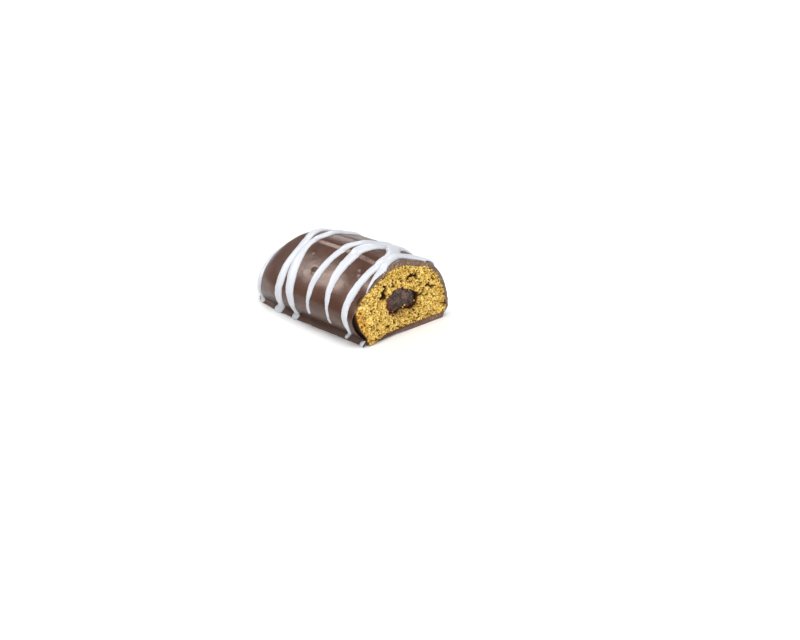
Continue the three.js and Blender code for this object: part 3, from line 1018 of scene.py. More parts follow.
@dataclass
class ChocolateCoat:
    """The thin coat with its foot, open at the cut.

    Levels, around, inner_around, across and rim_rows count the points of its faces. Ragged is how uneven the
    foot is, foot_round how far its lower edge is rounded, rim_reach how far behind the cut the skins follow
    the broken rim, inner_bevel how far the inner edge lies behind it where the chocolate came away, and arch
    how far the base rises at the cut.
    """

    levels: int = 116
    around: int = 340
    inner_around: int = 70
    across: int = 76
    rim_rows: int = 8
    ragged: float = 0.30
    foot_round: float = 0.22
    rim_reach: float = 0.9
    inner_bevel: float = 1.3
    arch: float = 0.45
    finish: Finish = field(default_factory=lambda: ChocolateFinish("dark_chocolate"))

    def outer_skin(self) -> np.ndarray:
        """The outside from the foot to the ridge, with dents, waves and a ragged foot.

        Returns:
            Levels by points by XYZ.
        """
        points = OUTSIDE.rings(self.levels, self.around)
        normal = grid_normals(points, LOAF_MIDDLE)
        normal[-1] = (0.0, 0.0, 1.0)
        height = points[..., 2]
        points = points + normal * set_relief(points)[..., None]
        foot = 1.0 - ease((height - 0.7) / 1.0)
        flat = points * np.array([1.0, 1.0, 0.25])
        ragged = np.minimum(self.ragged * layered(flat, 2.4, 31, 4) - 0.12, 0.05)
        level = normal * np.array([1.0, 1.0, 0.0])
        level = level / np.maximum(np.linalg.norm(level, axis=-1, keepdims=True), NOTHING)
        points = points + level * (ragged * foot)[..., None]
        round_off = self.foot_round * (1.0 - ease(height / 0.5))
        points = points - level * round_off[..., None]
        return self.to_rim(points)

    def to_rim(self, points: np.ndarray, bevel: float = 0.0) -> np.ndarray:
        """Draws the open edge of a skin to the broken rim, or behind it where the chocolate came away.

        Args:
            points: The skin.
            bevel: How far behind.

        Returns:
            The skin with its edge moved.
        """
        x, y, z = np.moveaxis(points, -1, 0)
        points = points.copy()
        points[..., 0] = x + (rim_station(y, z) - bevel * crevice(y, z)) * np.exp(x / self.rim_reach)
        return points

    def underside(self, ring: np.ndarray, outer: bool) -> np.ndarray:
        """The flat face between the two halves of the lowest outline.

        Args:
            ring: The lowest outline.
            outer: True for the base that shows, False for the floor of the hollow.

        Returns:
            Rows across the loaf, from the cut to the whole end.
        """
        half = self.around // 2 if outer else self.inner_around // 2
        t = np.linspace(0.0, 1.0, self.across + 1)[None, :, None]
        left = ring[:half, None, :]
        right = ring[::-1][:half, None, :]
        grid = left * (1.0 - t) + right * t
        if outer:
            inner = np.sin(np.pi * t[..., 0]) ** 0.5
            arch = self.arch * np.exp(-(((grid[..., 1] + 3.0) / 4.0) ** 2)) * np.exp(grid[..., 0] / 7.0)
            grid[..., 2] += inner * (arch + 0.03 * (1.0 + lumps(grid, 2.0, 44)))
        return grid

    def loop(self, skin: np.ndarray, base: np.ndarray) -> np.ndarray:
        """The open edge of a skin: up its left, down its right and back along its base."""
        return np.concatenate([skin[:, 0], skin[::-1][1:, -1], base[0, ::-1][1:]])

    def rim(self, outer: np.ndarray, inner: np.ndarray) -> np.ndarray:
        """The broken chocolate between the outer and the inner edge.

        Args:
            outer: The outer edge.
            inner: The inner edge.

        Returns:
            Rows from the outer to the inner edge.
        """
        t = np.linspace(0.0, 1.0, self.rim_rows + 1)[:, None, None]
        grid = outer[None] * (1.0 - t) + inner[None] * t
        inside = np.sin(np.pi * t[..., 0])
        crumble = 0.12 * layered(grid, 0.7, 52) + 0.08
        grid[..., 0] += inside * crumble
        return grid

    def build(self) -> Piece:
        """The closed coat.

        Returns:
            The welded object, with notes of its foot for painted light, its crease for painted shade, and its
            broken face.
        """
        outer = self.outer_skin()
        base = self.underside(outer[0], True)
        inner = self.to_rim(HOLLOW.rings(self.levels, self.inner_around), self.inner_bevel)
        floor = self.underside(inner[0], False)
        rim = self.rim(self.loop(outer, base), self.loop(inner, floor))
        parts = [
            sheet("coat_outer", outer),
            sheet("coat_base", base),
            sheet("coat_inner", inner),
            sheet("coat_floor", floor),
            sheet("coat_rim", rim),
        ]
        coat = weld(parts, "chocolate_coat")
        at = places(coat)
        # Where the foot is painted lighter as if lit, and where painted shade darkens the crease on the left.
        note(coat, "foot", 1.0 - ease((at[:, 2] - 1.1) / 0.8))
        note(coat, "crease", np.exp(-(((at[:, 2] - 1.85) / 0.55) ** 2)) * ease(-at[:, 1] / 2.0))
        edge = rim_station(at[:, 1], at[:, 2])
        note(coat, "broken", ease((at[:, 0] - edge + 0.12) / 0.15) * ease(self.depth_inside(at) / 0.25))
        smooth(coat, 50.0)
        return coat

    def depth_inside(self, at: np.ndarray) -> np.ndarray:
        """How far places lie in from the outside of the loaf across Y and Z, roughly.

        Args:
            at: The places.

        Returns:
            Distances, in millimetres.
        """
        just_under_ridge = HEIGHT - 0.001
        form = OUTSIDE.plan(np.clip(at[:, 2], 0.0, just_under_ridge))
        half = np.where(at[:, 1] < form["mid"], form["left"] + form["mid"], form["right"] - form["mid"])
        return np.minimum(half - np.abs(at[:, 1] - form["mid"]), at[:, 2])


# ---------------------------------------------------------------- the icing


@dataclass(frozen=True)
class IcingLine:
    """One line of icing laid across the loaf, as (angle, station, width) where it turns or swells.

    The angle goes round the bar: -90 is level with the axis on the left, 0 the ridge, 90 the right. A line is
    drawn narrower than its width by trimmed, but never under the share narrowest of it.
    """

    turns: tuple[tuple[float, float, float], ...]
    trimmed: float = 0.7
    narrowest: float = 0.4

    def samples(self, count: int = 160) -> np.ndarray:
        """Points on a smooth path through the turns.

        Args:
            count: How many.

        Returns:
            Angle, station and width of each.
        """
        knots = np.array(self.turns, float)
        ends = np.vstack([2 * knots[0] - knots[1], knots, 2 * knots[-1] - knots[-2]])
        t = np.linspace(0.0, len(knots) - 1.0 - 1e-9, count)
        k = t.astype(int)
        u = (t - k)[:, None]
        p0, p1, p2, p3 = ends[k], ends[k + 1], ends[k + 2], ends[k + 3]
        mid = 0.5 * (2 * p1 + (p2 - p0) * u + (2 * p0 - 5 * p1 + 4 * p2 - p3) * u**2)
        return mid + 0.5 * (3 * p1 - p0 - 3 * p2 + p3) * u**3

    def inside(self, x: np.ndarray, angle: np.ndarray, radius: float) -> np.ndarray:
        """How far places lie inside the line's edge, negative outside it.

        Args:
            x: Stations.
            angle: Angles round the bar.
            radius: Distance of the surface from the axis, to turn angles into lengths.

        Returns:
            Distances in millimetres.
        """
        path = self.samples()
        arc = math.radians(1.0) * radius
        centre = np.interp(angle, path[:, 0], path[:, 1])
        width = np.interp(angle, path[:, 0], path[:, 2])
        width = np.maximum(width - self.trimmed, self.narrowest * width)
        slope = np.gradient(path[:, 1], path[:, 0] * arc)
        lean = np.interp(angle, path[:, 0], slope)
        beyond = np.maximum(path[0, 0] - angle, angle - path[-1, 0])
        aside = np.abs(x - centre) / np.sqrt(1.0 + lean**2)
        past = np.maximum(beyond, 0.0) * arc
        return width / 2.0 - np.hypot(aside, past)


LINES = (
    IcingLine(((-111, -42.5, 1.0), (-100, -43.0, 1.7), (-85, -42.0, 2.4), (-66, -43.5, 1.9),
               (-30, -44.2, 1.5), (30, -43.8, 1.5), (66, -42.5, 1.7), (92, -41.5, 0.9))),
    IcingLine(((-109, -34.5, 2.4), (-100, -32.5, 2.2), (-82, -31.0, 2.8), (-58, -32.2, 2.7),
               (-35, -32.5, 2.6), (-10, -33.2, 3.0), (20, -33.2, 2.6), (55, -32.0, 2.6), (97, -30.5, 1.0))),
    IcingLine(((-109, -27.5, 1.7), (-97, -26.5, 1.6), (-85, -25.7, 2.7), (-72, -27.0, 3.0), (-56, -29.0, 3.4),
               (-28, -30.4, 2.2), (-8, -27.9, 2.5), (20, -28.4, 2.6), (55, -28.5, 2.9), (99, -27.8, 1.0))),
    IcingLine(((-93, -19.0, 0.4), (-79, -18.2, 1.2), (-62, -18.9, 2.2), (-35, -18.6, 2.3), (-18, -17.3, 2.3),
               (-3, -15.4, 2.3), (25, -15.2, 2.6), (60, -15.0, 2.5), (94, -14.6, 1.0))),
    IcingLine(((-96, -11.2, 0.4), (-82, -10.4, 1.0), (-65, -12.0, 2.0), (-46, -13.0, 2.9), (-20, -12.9, 3.5),
               (2, -11.5, 4.3), (14, -12.3, 3.6), (26, -12.0, 4.2), (52, -11.5, 2.9), (98, -12.4, 1.0))),
    IcingLine(((-109, -7.0, 0.5), (-97, -3.9, 0.8), (-85, -3.3, 1.9), (-68, -4.2, 2.2), (-42, -4.2, 2.4),
               (-14, -3.8, 2.4), (1, -5.3, 2.7), (14, -8.0, 4.4), (30, -10.5, 3.3), (58, -9.5, 2.5),
               (96, -7.4, 0.9))),
    IcingLine(((-62, 0.6, 0.8), (-50, -0.1, 1.8), (-34, -0.9, 2.6), (-12, -2.3, 2.4), (4, -3.4, 2.9),
               (22, -3.1, 3.4), (46, 0.2, 2.4))),
)

# Drops of icing on the foot, as (x, y, z, radius).
DROPS = (
    (-42.9, -13.5, 1.5, 0.4), (-42.1, -13.9, 1.1, 0.45), (-33.9, -14.9, 1.1, 0.7), (-27.1, -15.0, 1.0, 0.7),
    (-0.5, -14.8, 0.5, 0.75), (-0.1, -14.3, 0.9, 0.45),
)


@dataclass
class IcingDrizzle:
    """The set lines of icing, run together where they cross, with drops on the foot.

    Stations and turns count the points along the loaf and round it. Crowding draws the stations toward the
    whole end, far_end. Height is how far the icing stands up, edge how wide its round edge is, sunk how thick
    it is, girth the distance of the surface from the axis, and run_together how far lines flow into others.
    """

    stations: int = 250
    turns: int = 430
    from_angle: float = -114.0
    to_angle: float = 112.0
    far_end: float = -45.4
    crowding: float = 1.35
    height: float = 0.40
    edge: float = 0.85
    sunk: float = 0.32
    girth: float = 15.5
    run_together: float = 0.16
    lines: tuple[IcingLine, ...] = LINES
    finish: Finish = field(default_factory=lambda: IcingFinish("white_icing"))

    def spread(self, x: np.ndarray, angle: np.ndarray, points: np.ndarray) -> np.ndarray:
        """How far each place lies inside the icing's edge, lines and drops together.

        Args:
            x: Stations.
            angle: Angles round the bar.
            points: The same places on the even loaf.

        Returns:
            Distances in millimetres, negative outside the edge.
        """
        near = [line.inside(x, angle, self.girth) for line in self.lines]
        near += [r - np.linalg.norm(points - np.array([a, b, c]), axis=-1) for a, b, c, r in DROPS]
        total = sum(np.exp(np.clip(d, -6.0, 6.0) / self.run_together) for d in near)
        wander = 0.09 * lumps(points, 1.9, 61) + 0.05 * lumps(points, 0.8, 62)
        return self.run_together * np.log(total) + wander

    def rise(self, inside: np.ndarray) -> np.ndarray:
        """Height of the icing over the chocolate: a round edge, then almost level.

        Args:
            inside: Distances inside the icing's edge.

        Returns:
            Heights in millimetres, below 0 outside the edge.
        """
        t = np.clip(inside / self.edge, 0.0, 1.0)
        dome = np.sqrt(1.0 - (1.0 - t) ** 2)
        above = self.height * dome * (0.82 + 0.18 * ease(inside / 2.0))
        return np.where(inside > 0.0, above, np.maximum(1.6 * inside, -0.3))

    def build(self) -> Piece:
        """The icing as one closed body whose underside is sunk in the chocolate.

        Returns:
            The object, with a note of its thickness.
        """
        angle = np.linspace(self.from_angle, self.to_angle, self.turns)[:, None]
        along = np.linspace(0.0, 1.0, self.stations)[None, :]
        direction = upward(np.radians(angle))
        at_cut = OUTSIDE.cast(np.zeros_like(direction) + (JUST_BEHIND, 0.0, AXIS_Z), direction)
        over_rim = 0.05
        edge = rim_station(at_cut[..., 1], at_cut[..., 2]) + over_rim
        x = self.far_end + along**self.crowding * (edge - self.far_end)
        origin = np.stack([x, np.zeros_like(x), np.full_like(x, AXIS_Z)], axis=-1)
        points = OUTSIDE.cast(origin, np.broadcast_to(direction, origin.shape))
        normal = grid_normals(points, LOAF_MIDDLE)
        rise = self.rise(self.spread(x, np.broadcast_to(angle, x.shape), points))
        top = points + normal * (rise + set_relief(points))[..., None]
        icing = sheet("icing_drizzle", top)
        kept_from = -0.12
        self.trim(icing, rise.ravel() > kept_from)
        self.thicken(icing)
        self.note_thickness(icing)
        smooth(icing, 65.0)
        return icing

    def trim(self, icing: Piece, wanted: np.ndarray) -> None:
        """Takes away the faces that lie clear of every line.

        Args:
            icing: The sheet over the whole loaf.
            wanted: True for each vertex that is on or next to a line.
        """
        mesh = icing.data
        corners = np.empty(len(mesh.loops), int)
        mesh.loops.foreach_get("vertex_index", corners)
        used = wanted[corners].reshape(-1, 4).any(axis=1)
        alone(icing)
        bpy.ops.object.mode_set(mode="EDIT")
        bpy.ops.mesh.select_mode(type="FACE")
        bpy.ops.mesh.select_all(action="DESELECT")
        bpy.ops.object.mode_set(mode="OBJECT")
        mesh.polygons.foreach_set("select", ~used)
        bpy.ops.object.mode_set(mode="EDIT")
        bpy.ops.mesh.delete(type="FACE")
        bpy.ops.mesh.select_mode(type="VERT")
        bpy.ops.mesh.select_all(action="SELECT")
        bpy.ops.mesh.normals_make_consistent(inside=False)
        bpy.ops.object.mode_set(mode="OBJECT")

    def thicken(self, icing: Piece) -> None:
        """Gives the trimmed sheet its underside.

        Args:
            icing: The sheet.
        """
        face = icing.data.polygons[0]
        if face.normal.dot(face.center - Vector((0, 0, AXIS_Z * MM))) < 0:
            icing.data.flip_normals()
        alone(icing)
        wall = icing.modifiers.new("wall", "SOLIDIFY")
        wall.thickness = self.sunk * MM
        wall.offset = -1.0
        bpy.ops.object.modifier_apply(modifier=wall.name)
        place(icing, places(icing))

    def note_thickness(self, icing: Piece) -> None:
        """Notes the share of full height at each vertex, from its distance to the even loaf.

        Args:
            icing: The closed icing.
        """
        here = places(icing)
        radius = np.hypot(here[:, 1], here[:, 2] - AXIS_Z)
        a = np.arctan2(here[:, 1], here[:, 2] - AXIS_Z)
        origin = np.stack([np.minimum(here[:, 0], JUST_BEHIND), 0 * a, np.full_like(a, AXIS_Z)], axis=-1)
        even = OUTSIDE.cast(origin, upward(a))
        away = radius - np.hypot(even[:, 1], even[:, 2] - AXIS_Z)
        note(icing, "thickness", np.clip(away / self.height, 0.0, 1.0))


# ---------------------------------------------------------------- the crumb and the jam


def jam_radius(a: np.ndarray) -> np.ndarray:
    """The jam's uneven oval round its middle, with a ragged edge.

    Args:
        a: Angles round the middle.

    Returns:
        Distances from the middle.
    """
    r = 4.4 + 0.25 * np.sin(a) + 1.4 * np.cos(2 * a) - 0.3 * np.sin(2 * a)
    r = r + 0.25 * np.cos(3 * a) - 0.45 * np.sin(3 * a) + 0.1 * np.cos(4 * a) - 0.1 * np.sin(4 * a)
    return r + 0.16 * np.sin(9 * a + 1.0) + 0.12 * np.sin(14 * a + 0.4) + 0.08 * np.sin(23 * a)


@dataclass(frozen=True)
class Hole:
    """A large hole in the crumb."""

    y: float
    z: float
    wide: float
    high: float
    depth: float
    tilt: float = 0.0


HOLES = (
    Hole(-7.5, 12.9, 1.15, 1.5, 3.0), Hole(-6.7, 14.8, 0.6, 1.05, 1.6, 0.3),
    Hole(1.6, 15.3, 0.85, 0.6, 1.8, 0.7), Hole(2.9, 15.85, 1.2, 0.6, 2.0),
    Hole(4.6, 15.4, 0.8, 0.65, 1.8, -0.8), Hole(9.2, 11.5, 0.95, 0.65, 2.1, 0.3),
    Hole(10.8, 10.5, 1.5, 0.32, 1.0, -0.25), Hole(-3.8, 14.9, 0.5, 1.25, 1.1, 0.3),
    Hole(-0.6, 15.2, 0.75, 0.4, 1.1),
    Hole(-1.0, 13.95, 0.35, 0.3, 0.9), Hole(3.9, 12.3, 0.35, 0.6, 1.0), Hole(6.9, 9.5, 1.45, 0.42, 1.1, 0.5),
    Hole(4.7, 4.4, 0.4, 0.3, 0.9), Hole(9.3, 2.6, 0.6, 0.3, 0.9), Hole(-5.8, 3.6, 0.7, 0.55, 1.0),
    Hole(-11.7, 9.6, 0.35, 0.45, 0.9), Hole(-6.2, 8.0, 0.55, 0.5, 1.2),
)


@dataclass
class GingerbreadCrumb:
    """The torn porous crumb and the channel that holds the jam.

    Around and face_rows count the points round the jam and over the face, pores the small pores, and pixel is
    the spacing at which their depth is worked out. Channel_rows gives the channel as (station, share of its
    width), side_stations the rows back along the chocolate.
    """

    around: int = 560
    face_rows: int = 122
    pores: int = 3300
    pixel: float = 0.06
    channel_rows: tuple[tuple[float, float], ...] = (
        (-38.3, 0.0), (-38.2, 0.45), (-36.5, 0.8), (-32.0, 1.0), (-20.0, 1.0), (-9.0, 1.0),
        (-5.0, 1.0), (-3.0, 1.0), (-2.0, 1.0), (-1.3, 1.0), (-0.9, 1.0), (-0.6, 1.0),
    )
    side_stations: tuple[float, ...] = (-0.6, -1.2, -2.4, -5.0, -9.0, -14.0, -20.0, -26.0, -31.0)
    finish: Finish = field(default_factory=lambda: CrumbFinish("gingerbread_crumb"))

    def pore_field(self) -> tuple[np.ndarray, np.ndarray, np.ndarray]:
        """Depth of the pores over the cut.

        Returns:
            Places along Y, places along Z, and the depth at each crossing, in millimetres.
        """
        y = np.arange(-19.0, 19.0, self.pixel)
        z = np.arange(-0.5, 21.5, self.pixel)
        depth = np.zeros((len(z), len(y)))
        draw = np.random.default_rng(12)
        spots = []
        for _ in range(self.pores):
            size = 0.09 + 0.12 * draw.random() + 0.22 * draw.random() ** 8
            stretch = 0.7 + 0.8 * draw.random()
            spots.append((draw.uniform(-18, 18), draw.uniform(0.5, 20), size * stretch, size / stretch,
                          size * 2.6 + 0.22, draw.uniform(0, math.pi)))
        spots += [(h.y, h.z, h.wide, h.high, h.depth, h.tilt) for h in HOLES]
        for cy, cz, wide, high, deep, tilt in spots:
            reach = max(wide, high) * 1.25
            j0, j1 = np.searchsorted(y, (cy - reach, cy + reach))
            k0, k1 = np.searchsorted(z, (cz - reach, cz + reach))
            gy, gz = np.meshgrid(y[j0:j1] - cy, z[k0:k1] - cz)
            u = (gy * math.cos(tilt) + gz * math.sin(tilt)) / wide
            v = (gz * math.cos(tilt) - gy * math.sin(tilt)) / high
            turn = np.arctan2(v, u)
            ragged = 0.22 * np.sin(3.1 * turn + 5.0 * cy) + 0.12 * np.sin(7.0 * turn + cz)
            t = np.clip(1.0 - (np.hypot(u, v) * (1.0 + ragged)) ** 2.6, 0.0, 1.0)
            window = depth[k0:k1, j0:j1]
            np.maximum(window, deep * t**0.6, out=window)
        return y, z, depth

    def read_field(self, y: np.ndarray, z: np.ndarray) -> np.ndarray:
        """The pore depth on the cut, between the crossings of the field.

        Args:
            y: Places across the loaf.
            z: Their levels.

        Returns:
            Depths in millimetres.
        """
        ys, zs, depth = self.pore_field()
        j = np.clip((y - ys[0]) / self.pixel, 0, len(ys) - 1.001)
        k = np.clip((z - zs[0]) / self.pixel, 0, len(zs) - 1.001)
        j0, k0 = j.astype(int), k.astype(int)
        right, up = j - j0, k - k0
        low = depth[k0, j0] * (1 - right) + depth[k0, j0 + 1] * right
        high = depth[k0 + 1, j0] * (1 - right) + depth[k0 + 1, j0 + 1] * right
        return low * (1 - up) + high * up

    def outline(self, a: np.ndarray) -> np.ndarray:
        """Distance from the jam's middle to the edge of the crumb at the cut.

        Args:
            a: Angles round the middle.

        Returns:
            Distances in millimetres.
        """
        direction = sideways(a)
        edge = CRUMB_FORM.cast(np.zeros_like(direction) + (JUST_BEHIND, JAM_Y, JAM_Z), direction)
        _, radius = from_jam(edge)
        spill = 1.35 * np.exp(-(((edge[:, 1] + 10.6) / 2.3) ** 2)) * (edge[:, 2] < 3.0)
        radius = radius + spill / np.maximum(np.abs(np.sin(a)), 0.3)
        radius = radius - 0.75 * crevice(edge[:, 1], edge[:, 2])
        ring = np.stack([3 * np.cos(a), 3 * np.sin(a), 0 * a], axis=-1)
        return radius + 0.16 * layered(ring, 0.35, 71, 3) - 0.02

    def relief(self, points: np.ndarray) -> np.ndarray:
        """How far the torn face stands along X.

        Args:
            points: Places on the cut.

        Returns:
            Heights in millimetres, less the depth of the pores.
        """
        y, z = points[..., 1], points[..., 2]
        torn = 0.16 * layered(points, 2.2, 81, 2) + 0.11 * lumps(points, 0.55, 83)
        grain = 0.10 * lumps(points, 0.28, 85)
        proudest = 0.30
        return np.minimum(0.02 + torn + grain, proudest) + 0.9 * forward(y, z) - self.read_field(y, z)

    def build(self) -> Piece:
        """One skin from the blind end of the channel, over the torn face and round the whole end.

        Returns:
            The closed object, with notes of its pore depth for painted shade, its stain and its toasted edge.
        """
        a = np.linspace(0.0, 2.0 * math.pi, self.around + 1)
        inner = jam_radius(a) + 0.02
        outer = self.outline(a)
        rows = [*self.channel(a, inner), *self.face(a, inner, outer), *self.side(a, outer)]
        points = np.stack(rows)
        points[:, -1] = points[:, 0]
        crumb = weld([sheet("crumb", points)], "gingerbread_crumb")
        self.notes(crumb, places(crumb))
        smooth(crumb, 80.0)
        return crumb

    def channel(self, a: np.ndarray, inner: np.ndarray) -> list[np.ndarray]:
        """Rows from the blind end of the channel to just behind the face.

        Args:
            a: Angles round the jam.
            inner: The channel's radius at each.

        Returns:
            The rows.
        """
        return [jam_ring(x, a, inner * share) for x, share in self.channel_rows]

    def face(self, a: np.ndarray, inner: np.ndarray, outer: np.ndarray) -> list[np.ndarray]:
        """Rows over the torn face, from the jam to the chocolate.

        Args:
            a: Angles round the jam.
            inner: The channel's radius at each.
            outer: The crumb's edge at each.

        Returns:
            The rows.
        """
        t = np.linspace(0.0, 1.0, self.face_rows)[:, None]
        r = inner[None] * (1.0 - t) + outer[None] * t
        grid = jam_ring(0.0, a, r)
        worn = 0.35 * np.exp(-((r - inner) / 0.35)) + 0.22 * np.exp(-((outer - r) / 0.25))
        grid[..., 0] = self.relief(grid) - worn
        return list(grid)

    def side(self, a: np.ndarray, outer: np.ndarray) -> list[np.ndarray]:
        """Rows back along the chocolate and round the whole end.

        Args:
            a: Angles round the jam.
            outer: The crumb's edge at the cut, at each.

        Returns:
            The rows, the last of them one point.
        """
        rows = []
        level = sideways(a)
        for x in self.side_stations:
            origin = np.zeros_like(level) + (x, JAM_Y, JAM_Z)
            point = CRUMB_FORM.cast(origin, level)
            near = math.exp(-((x / 2.2) ** 2))
            _, away = from_jam(point)
            rows.append(jam_ring(point[:, 0], a, away * (1 - near) + outer * near))
        origin = np.zeros_like(level) + (self.side_stations[-1], JAM_Y, JAM_Z)
        for tilt in np.radians(np.arange(8.0, 90.5, 8.2)):
            direction = level * math.cos(tilt) + np.array([-math.sin(tilt), 0.0, 0.0])
            rows.append(CRUMB_FORM.cast(origin, direction))
        rows.append(np.broadcast_to(rows[-1].mean(axis=0), rows[-1].shape).copy())
        return rows

    def notes(self, crumb: Piece, at: np.ndarray) -> None:
        """Notes pore depth for painted shade, jam stain and toasted edge for the finish.

        Args:
            crumb: The crumb.
            at: Its vertices' places.
        """
        # How deep each place lies in a pore, for the painted shade there.
        behind = np.clip(forward(at[:, 1], at[:, 2]) - at[:, 0] + 0.1, 0.0, 3.0)
        note(crumb, "pore_shade", np.clip(behind / 1.5, 0.0, 1.0))
        a, away = from_jam(at)
        away = away - jam_radius(a)
        below = 0.35 + 1.3 * np.exp(-(((a + 1.55) / 0.8) ** 2))
        patchy = 0.5 + 0.5 * lumps(at, 0.9, 91)
        note(crumb, "stain", np.clip(np.exp(-((away / below) ** 2)) * (0.35 + 0.65 * patchy), 0.0, 1.0))
        left = ease((-at[:, 1] - 13.4) / 3.2) * ease((12.5 - at[:, 2]) / 3.0)
        low = 0.5 * ease((2.9 - at[:, 2]) / 1.2)
        patchy = 0.5 + 0.5 * lumps(at, 1.3, 93)
        note(crumb, "toast", np.clip((left + low) * (0.25 + 0.75 * patchy), 0.0, 1.0))


@dataclass
class CrumbBits:
    """Loose grains of crumb caught on the jam and round it, as (y, z, size)."""

    spots: tuple[tuple[float, float, float], ...] = (
        (0.9, 7.6, 0.28), (0.2, 7.15, 0.2), (-6.3, 8.2, 0.5), (-5.5, 7.5, 0.45), (-6.9, 8.9, 0.4),
        (4.4, 8.0, 0.2), (-3.6, 7.0, 0.17),
    )
    proportions: tuple[float, float, float] = (0.8, 1.1, 0.9)
    finish: Finish = field(default_factory=lambda: CrumbFinish("loose_crumb"))

    def build(self) -> Piece:
        """The grains, joined.

        Returns:
            One object with a small closed body for each grain.
        """
        grains = []
        for k, (y, z, size) in enumerate(self.spots):
            bpy.ops.object.select_all(action="DESELECT")
            bpy.ops.mesh.primitive_ico_sphere_add(subdivisions=3, radius=1.0)
            grain = bpy.context.object
            ball = held(grain)
            ball = ball * (1.0 + 0.55 * layered(ball, 0.8, 100 + k, 3))[:, None]
            jam_x = -0.55 - 0.25 * size
            place(grain, ball * size * np.array(self.proportions) + np.array([jam_x, y, z]))
            grains.append(grain)
        bits = weld(grains, "crumb_bits", 1e-4)
        # Each grain gets a random share of painted pore shade and of the jam stain.
        shade = 0.5 + 0.5 * lumps(places(bits), 0.4, 99)
        for name, share in (("pore_shade", 0.30), ("stain", 0.25), ("toast", 0.0)):
            note(bits, name, share * shade)
        smooth(bits, 80.0)
        return bits


@dataclass
class JamFilling:
    """The rod of jam with its wet, lumpy face a little behind the crumb.

    Dip is how far behind, and rod_rows gives the rod as (station, share of its width).
    """

    around: int = 220
    face_rows: int = 56
    dip: float = 0.85
    rod_rows: tuple[tuple[float, float], ...] = (
        (-2.6, 1.0), (-5.0, 1.0), (-14.0, 1.0), (-26.0, 1.0), (-32.0, 0.98), (-36.3, 0.78),
        (-38.0, 0.43), (-38.1, 0.0),
    )
    finish: Finish = field(default_factory=lambda: JamFinish("dark_jam"))

    def build(self) -> Piece:
        """One skin from the middle of the face to the blind end.

        Returns:
            The closed object, with a note of its translucent rim.
        """
        a = np.linspace(0.0, 2.0 * math.pi, self.around + 1)
        full = jam_radius(a) + 0.08
        rows = []
        for t in np.linspace(0.0, 1.0, self.face_rows):
            row = jam_ring(0.0, a, full * t)
            left_gap = 1.5 * np.exp(-(((row[:, 1] + 6.0) / 1.0) ** 2) - ((row[:, 2] - 10.3) / 2.4) ** 2)
            lump = 0.46 * layered(row, 1.9, 111, 3) + 0.15 * lumps(row, 0.55, 114)
            row[:, 0] = -self.dip + lump - 0.5 * t**6 - left_gap
            rows.append(row)
        rows += [jam_ring(x, a, full * share) for x, share in self.rod_rows]
        points = np.stack(rows)
        points[:, -1] = points[:, 0]
        jam = weld([sheet("jam", points)], "jam_rod")
        at = places(jam)
        angle, away = from_jam(at)
        edge = away / jam_radius(angle)
        left = np.exp(-(((at[:, 1] + 5.4) / 1.7) ** 2)) + 0.6 * np.exp(-(((at[:, 2] - 6.6) / 0.8) ** 2))
        note(jam, "rim", np.clip(ease((edge - 0.45) / 0.5) * left, 0.0, 1.0))
        smooth(jam, 80.0)
        return jam


# ---------------------------------------------------------------- the studio


class Softbox(Enum):
    """The soft lights, as place, size and power: metres, metres and watts."""

    OVERHEAD = ((0.20, -0.10, 1.15), 0.9, 10.0)
    LEFT = ((-0.89, -0.35, 0.81), 0.42, 6.4)
    CUT_SIDE = ((1.00, -0.50, 0.50), 0.6, 6.9)
    BEHIND = ((-0.95, 0.80, 0.55), 0.34, 1.1)


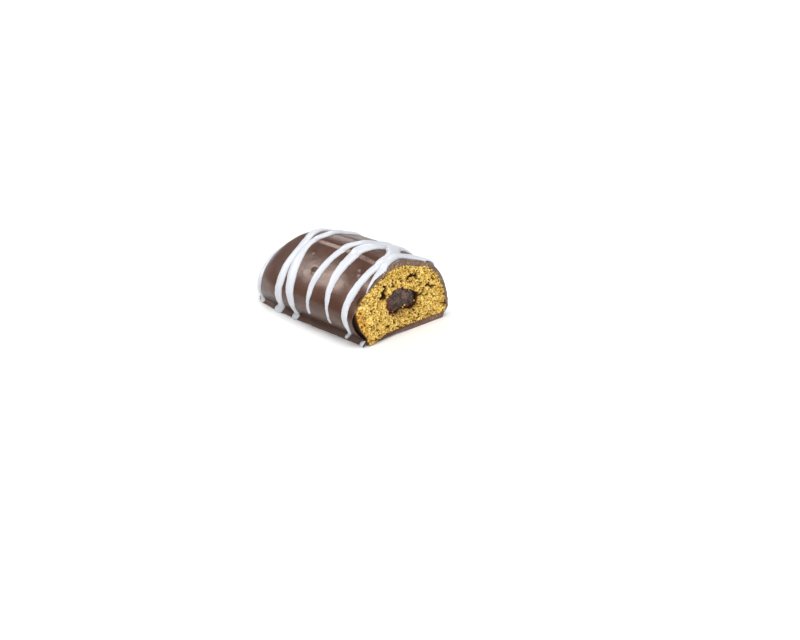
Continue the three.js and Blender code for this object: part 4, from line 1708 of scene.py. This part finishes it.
@dataclass
class Studio:
    """Floor, lights and camera: the target falls on target_pixel of a picture of that many pixels."""

    azimuth: float = 46.32
    elevation: float = 23.18
    distance: float = 0.68086
    focal_pixels: float = 2500.0
    target: tuple[float, float, float] = (0.0232433, 0.0006768, 0.0)
    target_pixel: tuple[float, float] = (403.6, 332.34)
    picture: tuple[int, int] = (800, 640)
    sensor: float = 36.0
    ambient: float = 0.30
    surround: tuple[float, float, float, float] = (0.97, 0.985, 1.0, 1.0)
    finish: Finish = field(default_factory=lambda: FloorFinish("pale_floor"))

    def camera(self) -> None:
        """The camera, so placed that the target falls on its pixel."""
        a, e = math.radians(self.azimuth), math.radians(self.elevation)
        back = Vector((math.sin(a) * math.cos(e), -math.cos(a) * math.cos(e), math.sin(e)))
        right = Vector((math.cos(a), math.sin(a), 0.0))
        up = back.cross(right)
        x = (self.target_pixel[0] - self.picture[0] / 2) / self.focal_pixels * self.distance
        y = (self.picture[1] / 2 - self.target_pixel[1]) / self.focal_pixels * self.distance
        eye = Vector(self.target) - right * x - up * y + back * self.distance
        data = bpy.data.cameras.new("camera")
        data.sensor_width = self.sensor
        data.lens = self.focal_pixels * self.sensor / self.picture[0]
        data.clip_start = 0.01
        data.clip_end = 30.0
        camera = bpy.data.objects.new("camera", data)
        bpy.context.scene.collection.objects.link(camera)
        turn = Matrix((right, up, back)).transposed()
        camera.matrix_world = Matrix.Translation(eye) @ turn.to_4x4()
        bpy.context.scene.camera = camera

    def floor(self) -> None:
        """A wide flat floor."""
        bpy.ops.object.select_all(action="DESELECT")
        bpy.ops.mesh.primitive_grid_add(x_subdivisions=8, y_subdivisions=8, size=16.0)
        ground = bpy.context.object
        ground.name = "floor"
        ground.data.materials.append(self.finish.material())

    def lights(self) -> None:
        """Soft lights and an even pale surrounding."""
        for box in Softbox:
            where, size, power = box.value
            data = bpy.data.lights.new(box.name.lower(), "AREA")
            data.shape = "DISK"
            data.size = size
            data.energy = power
            lamp = bpy.data.objects.new(box.name.lower(), data)
            bpy.context.scene.collection.objects.link(lamp)
            lamp.location = where
            away = Vector(where) - Vector((0.0, 0.0, 0.01))
            lamp.rotation_euler = away.to_track_quat("Z", "Y").to_euler()
        world = bpy.context.scene.world or bpy.data.worlds.new("room")
        bpy.context.scene.world = world
        world.use_nodes = True
        background = world.node_tree.nodes["Background"]
        background.inputs["Color"].default_value = self.surround
        background.inputs["Strength"].default_value = self.ambient

    def build(self) -> None:
        """Sets everything up, with plain tones in the picture."""
        self.camera()
        self.floor()
        self.lights()
        bpy.context.scene.view_settings.view_transform = "Standard"
        bpy.context.scene.view_settings.look = "None"


# ---------------------------------------------------------------- all of it


def main() -> None:
    """Builds the studio and every piece."""
    logging.basicConfig(level=logging.INFO, format="%(name)s: %(message)s")
    Studio().build()
    coat = ChocolateCoat()
    dress(coat.build(), coat.finish, "chocolate", "chocolate_coating")
    icing = IcingDrizzle()
    dress(icing.build(), icing.finish, "chocolate")
    crumb = GingerbreadCrumb()
    dress(crumb.build(), crumb.finish, "crumb", "gingerbread")
    bits = CrumbBits()
    dress(bits.build(), bits.finish, "crumb")
    jam = JamFilling()
    dress(jam.build(), jam.finish, "jam", "jam_filling")


if __name__ == "__main__":
    main()
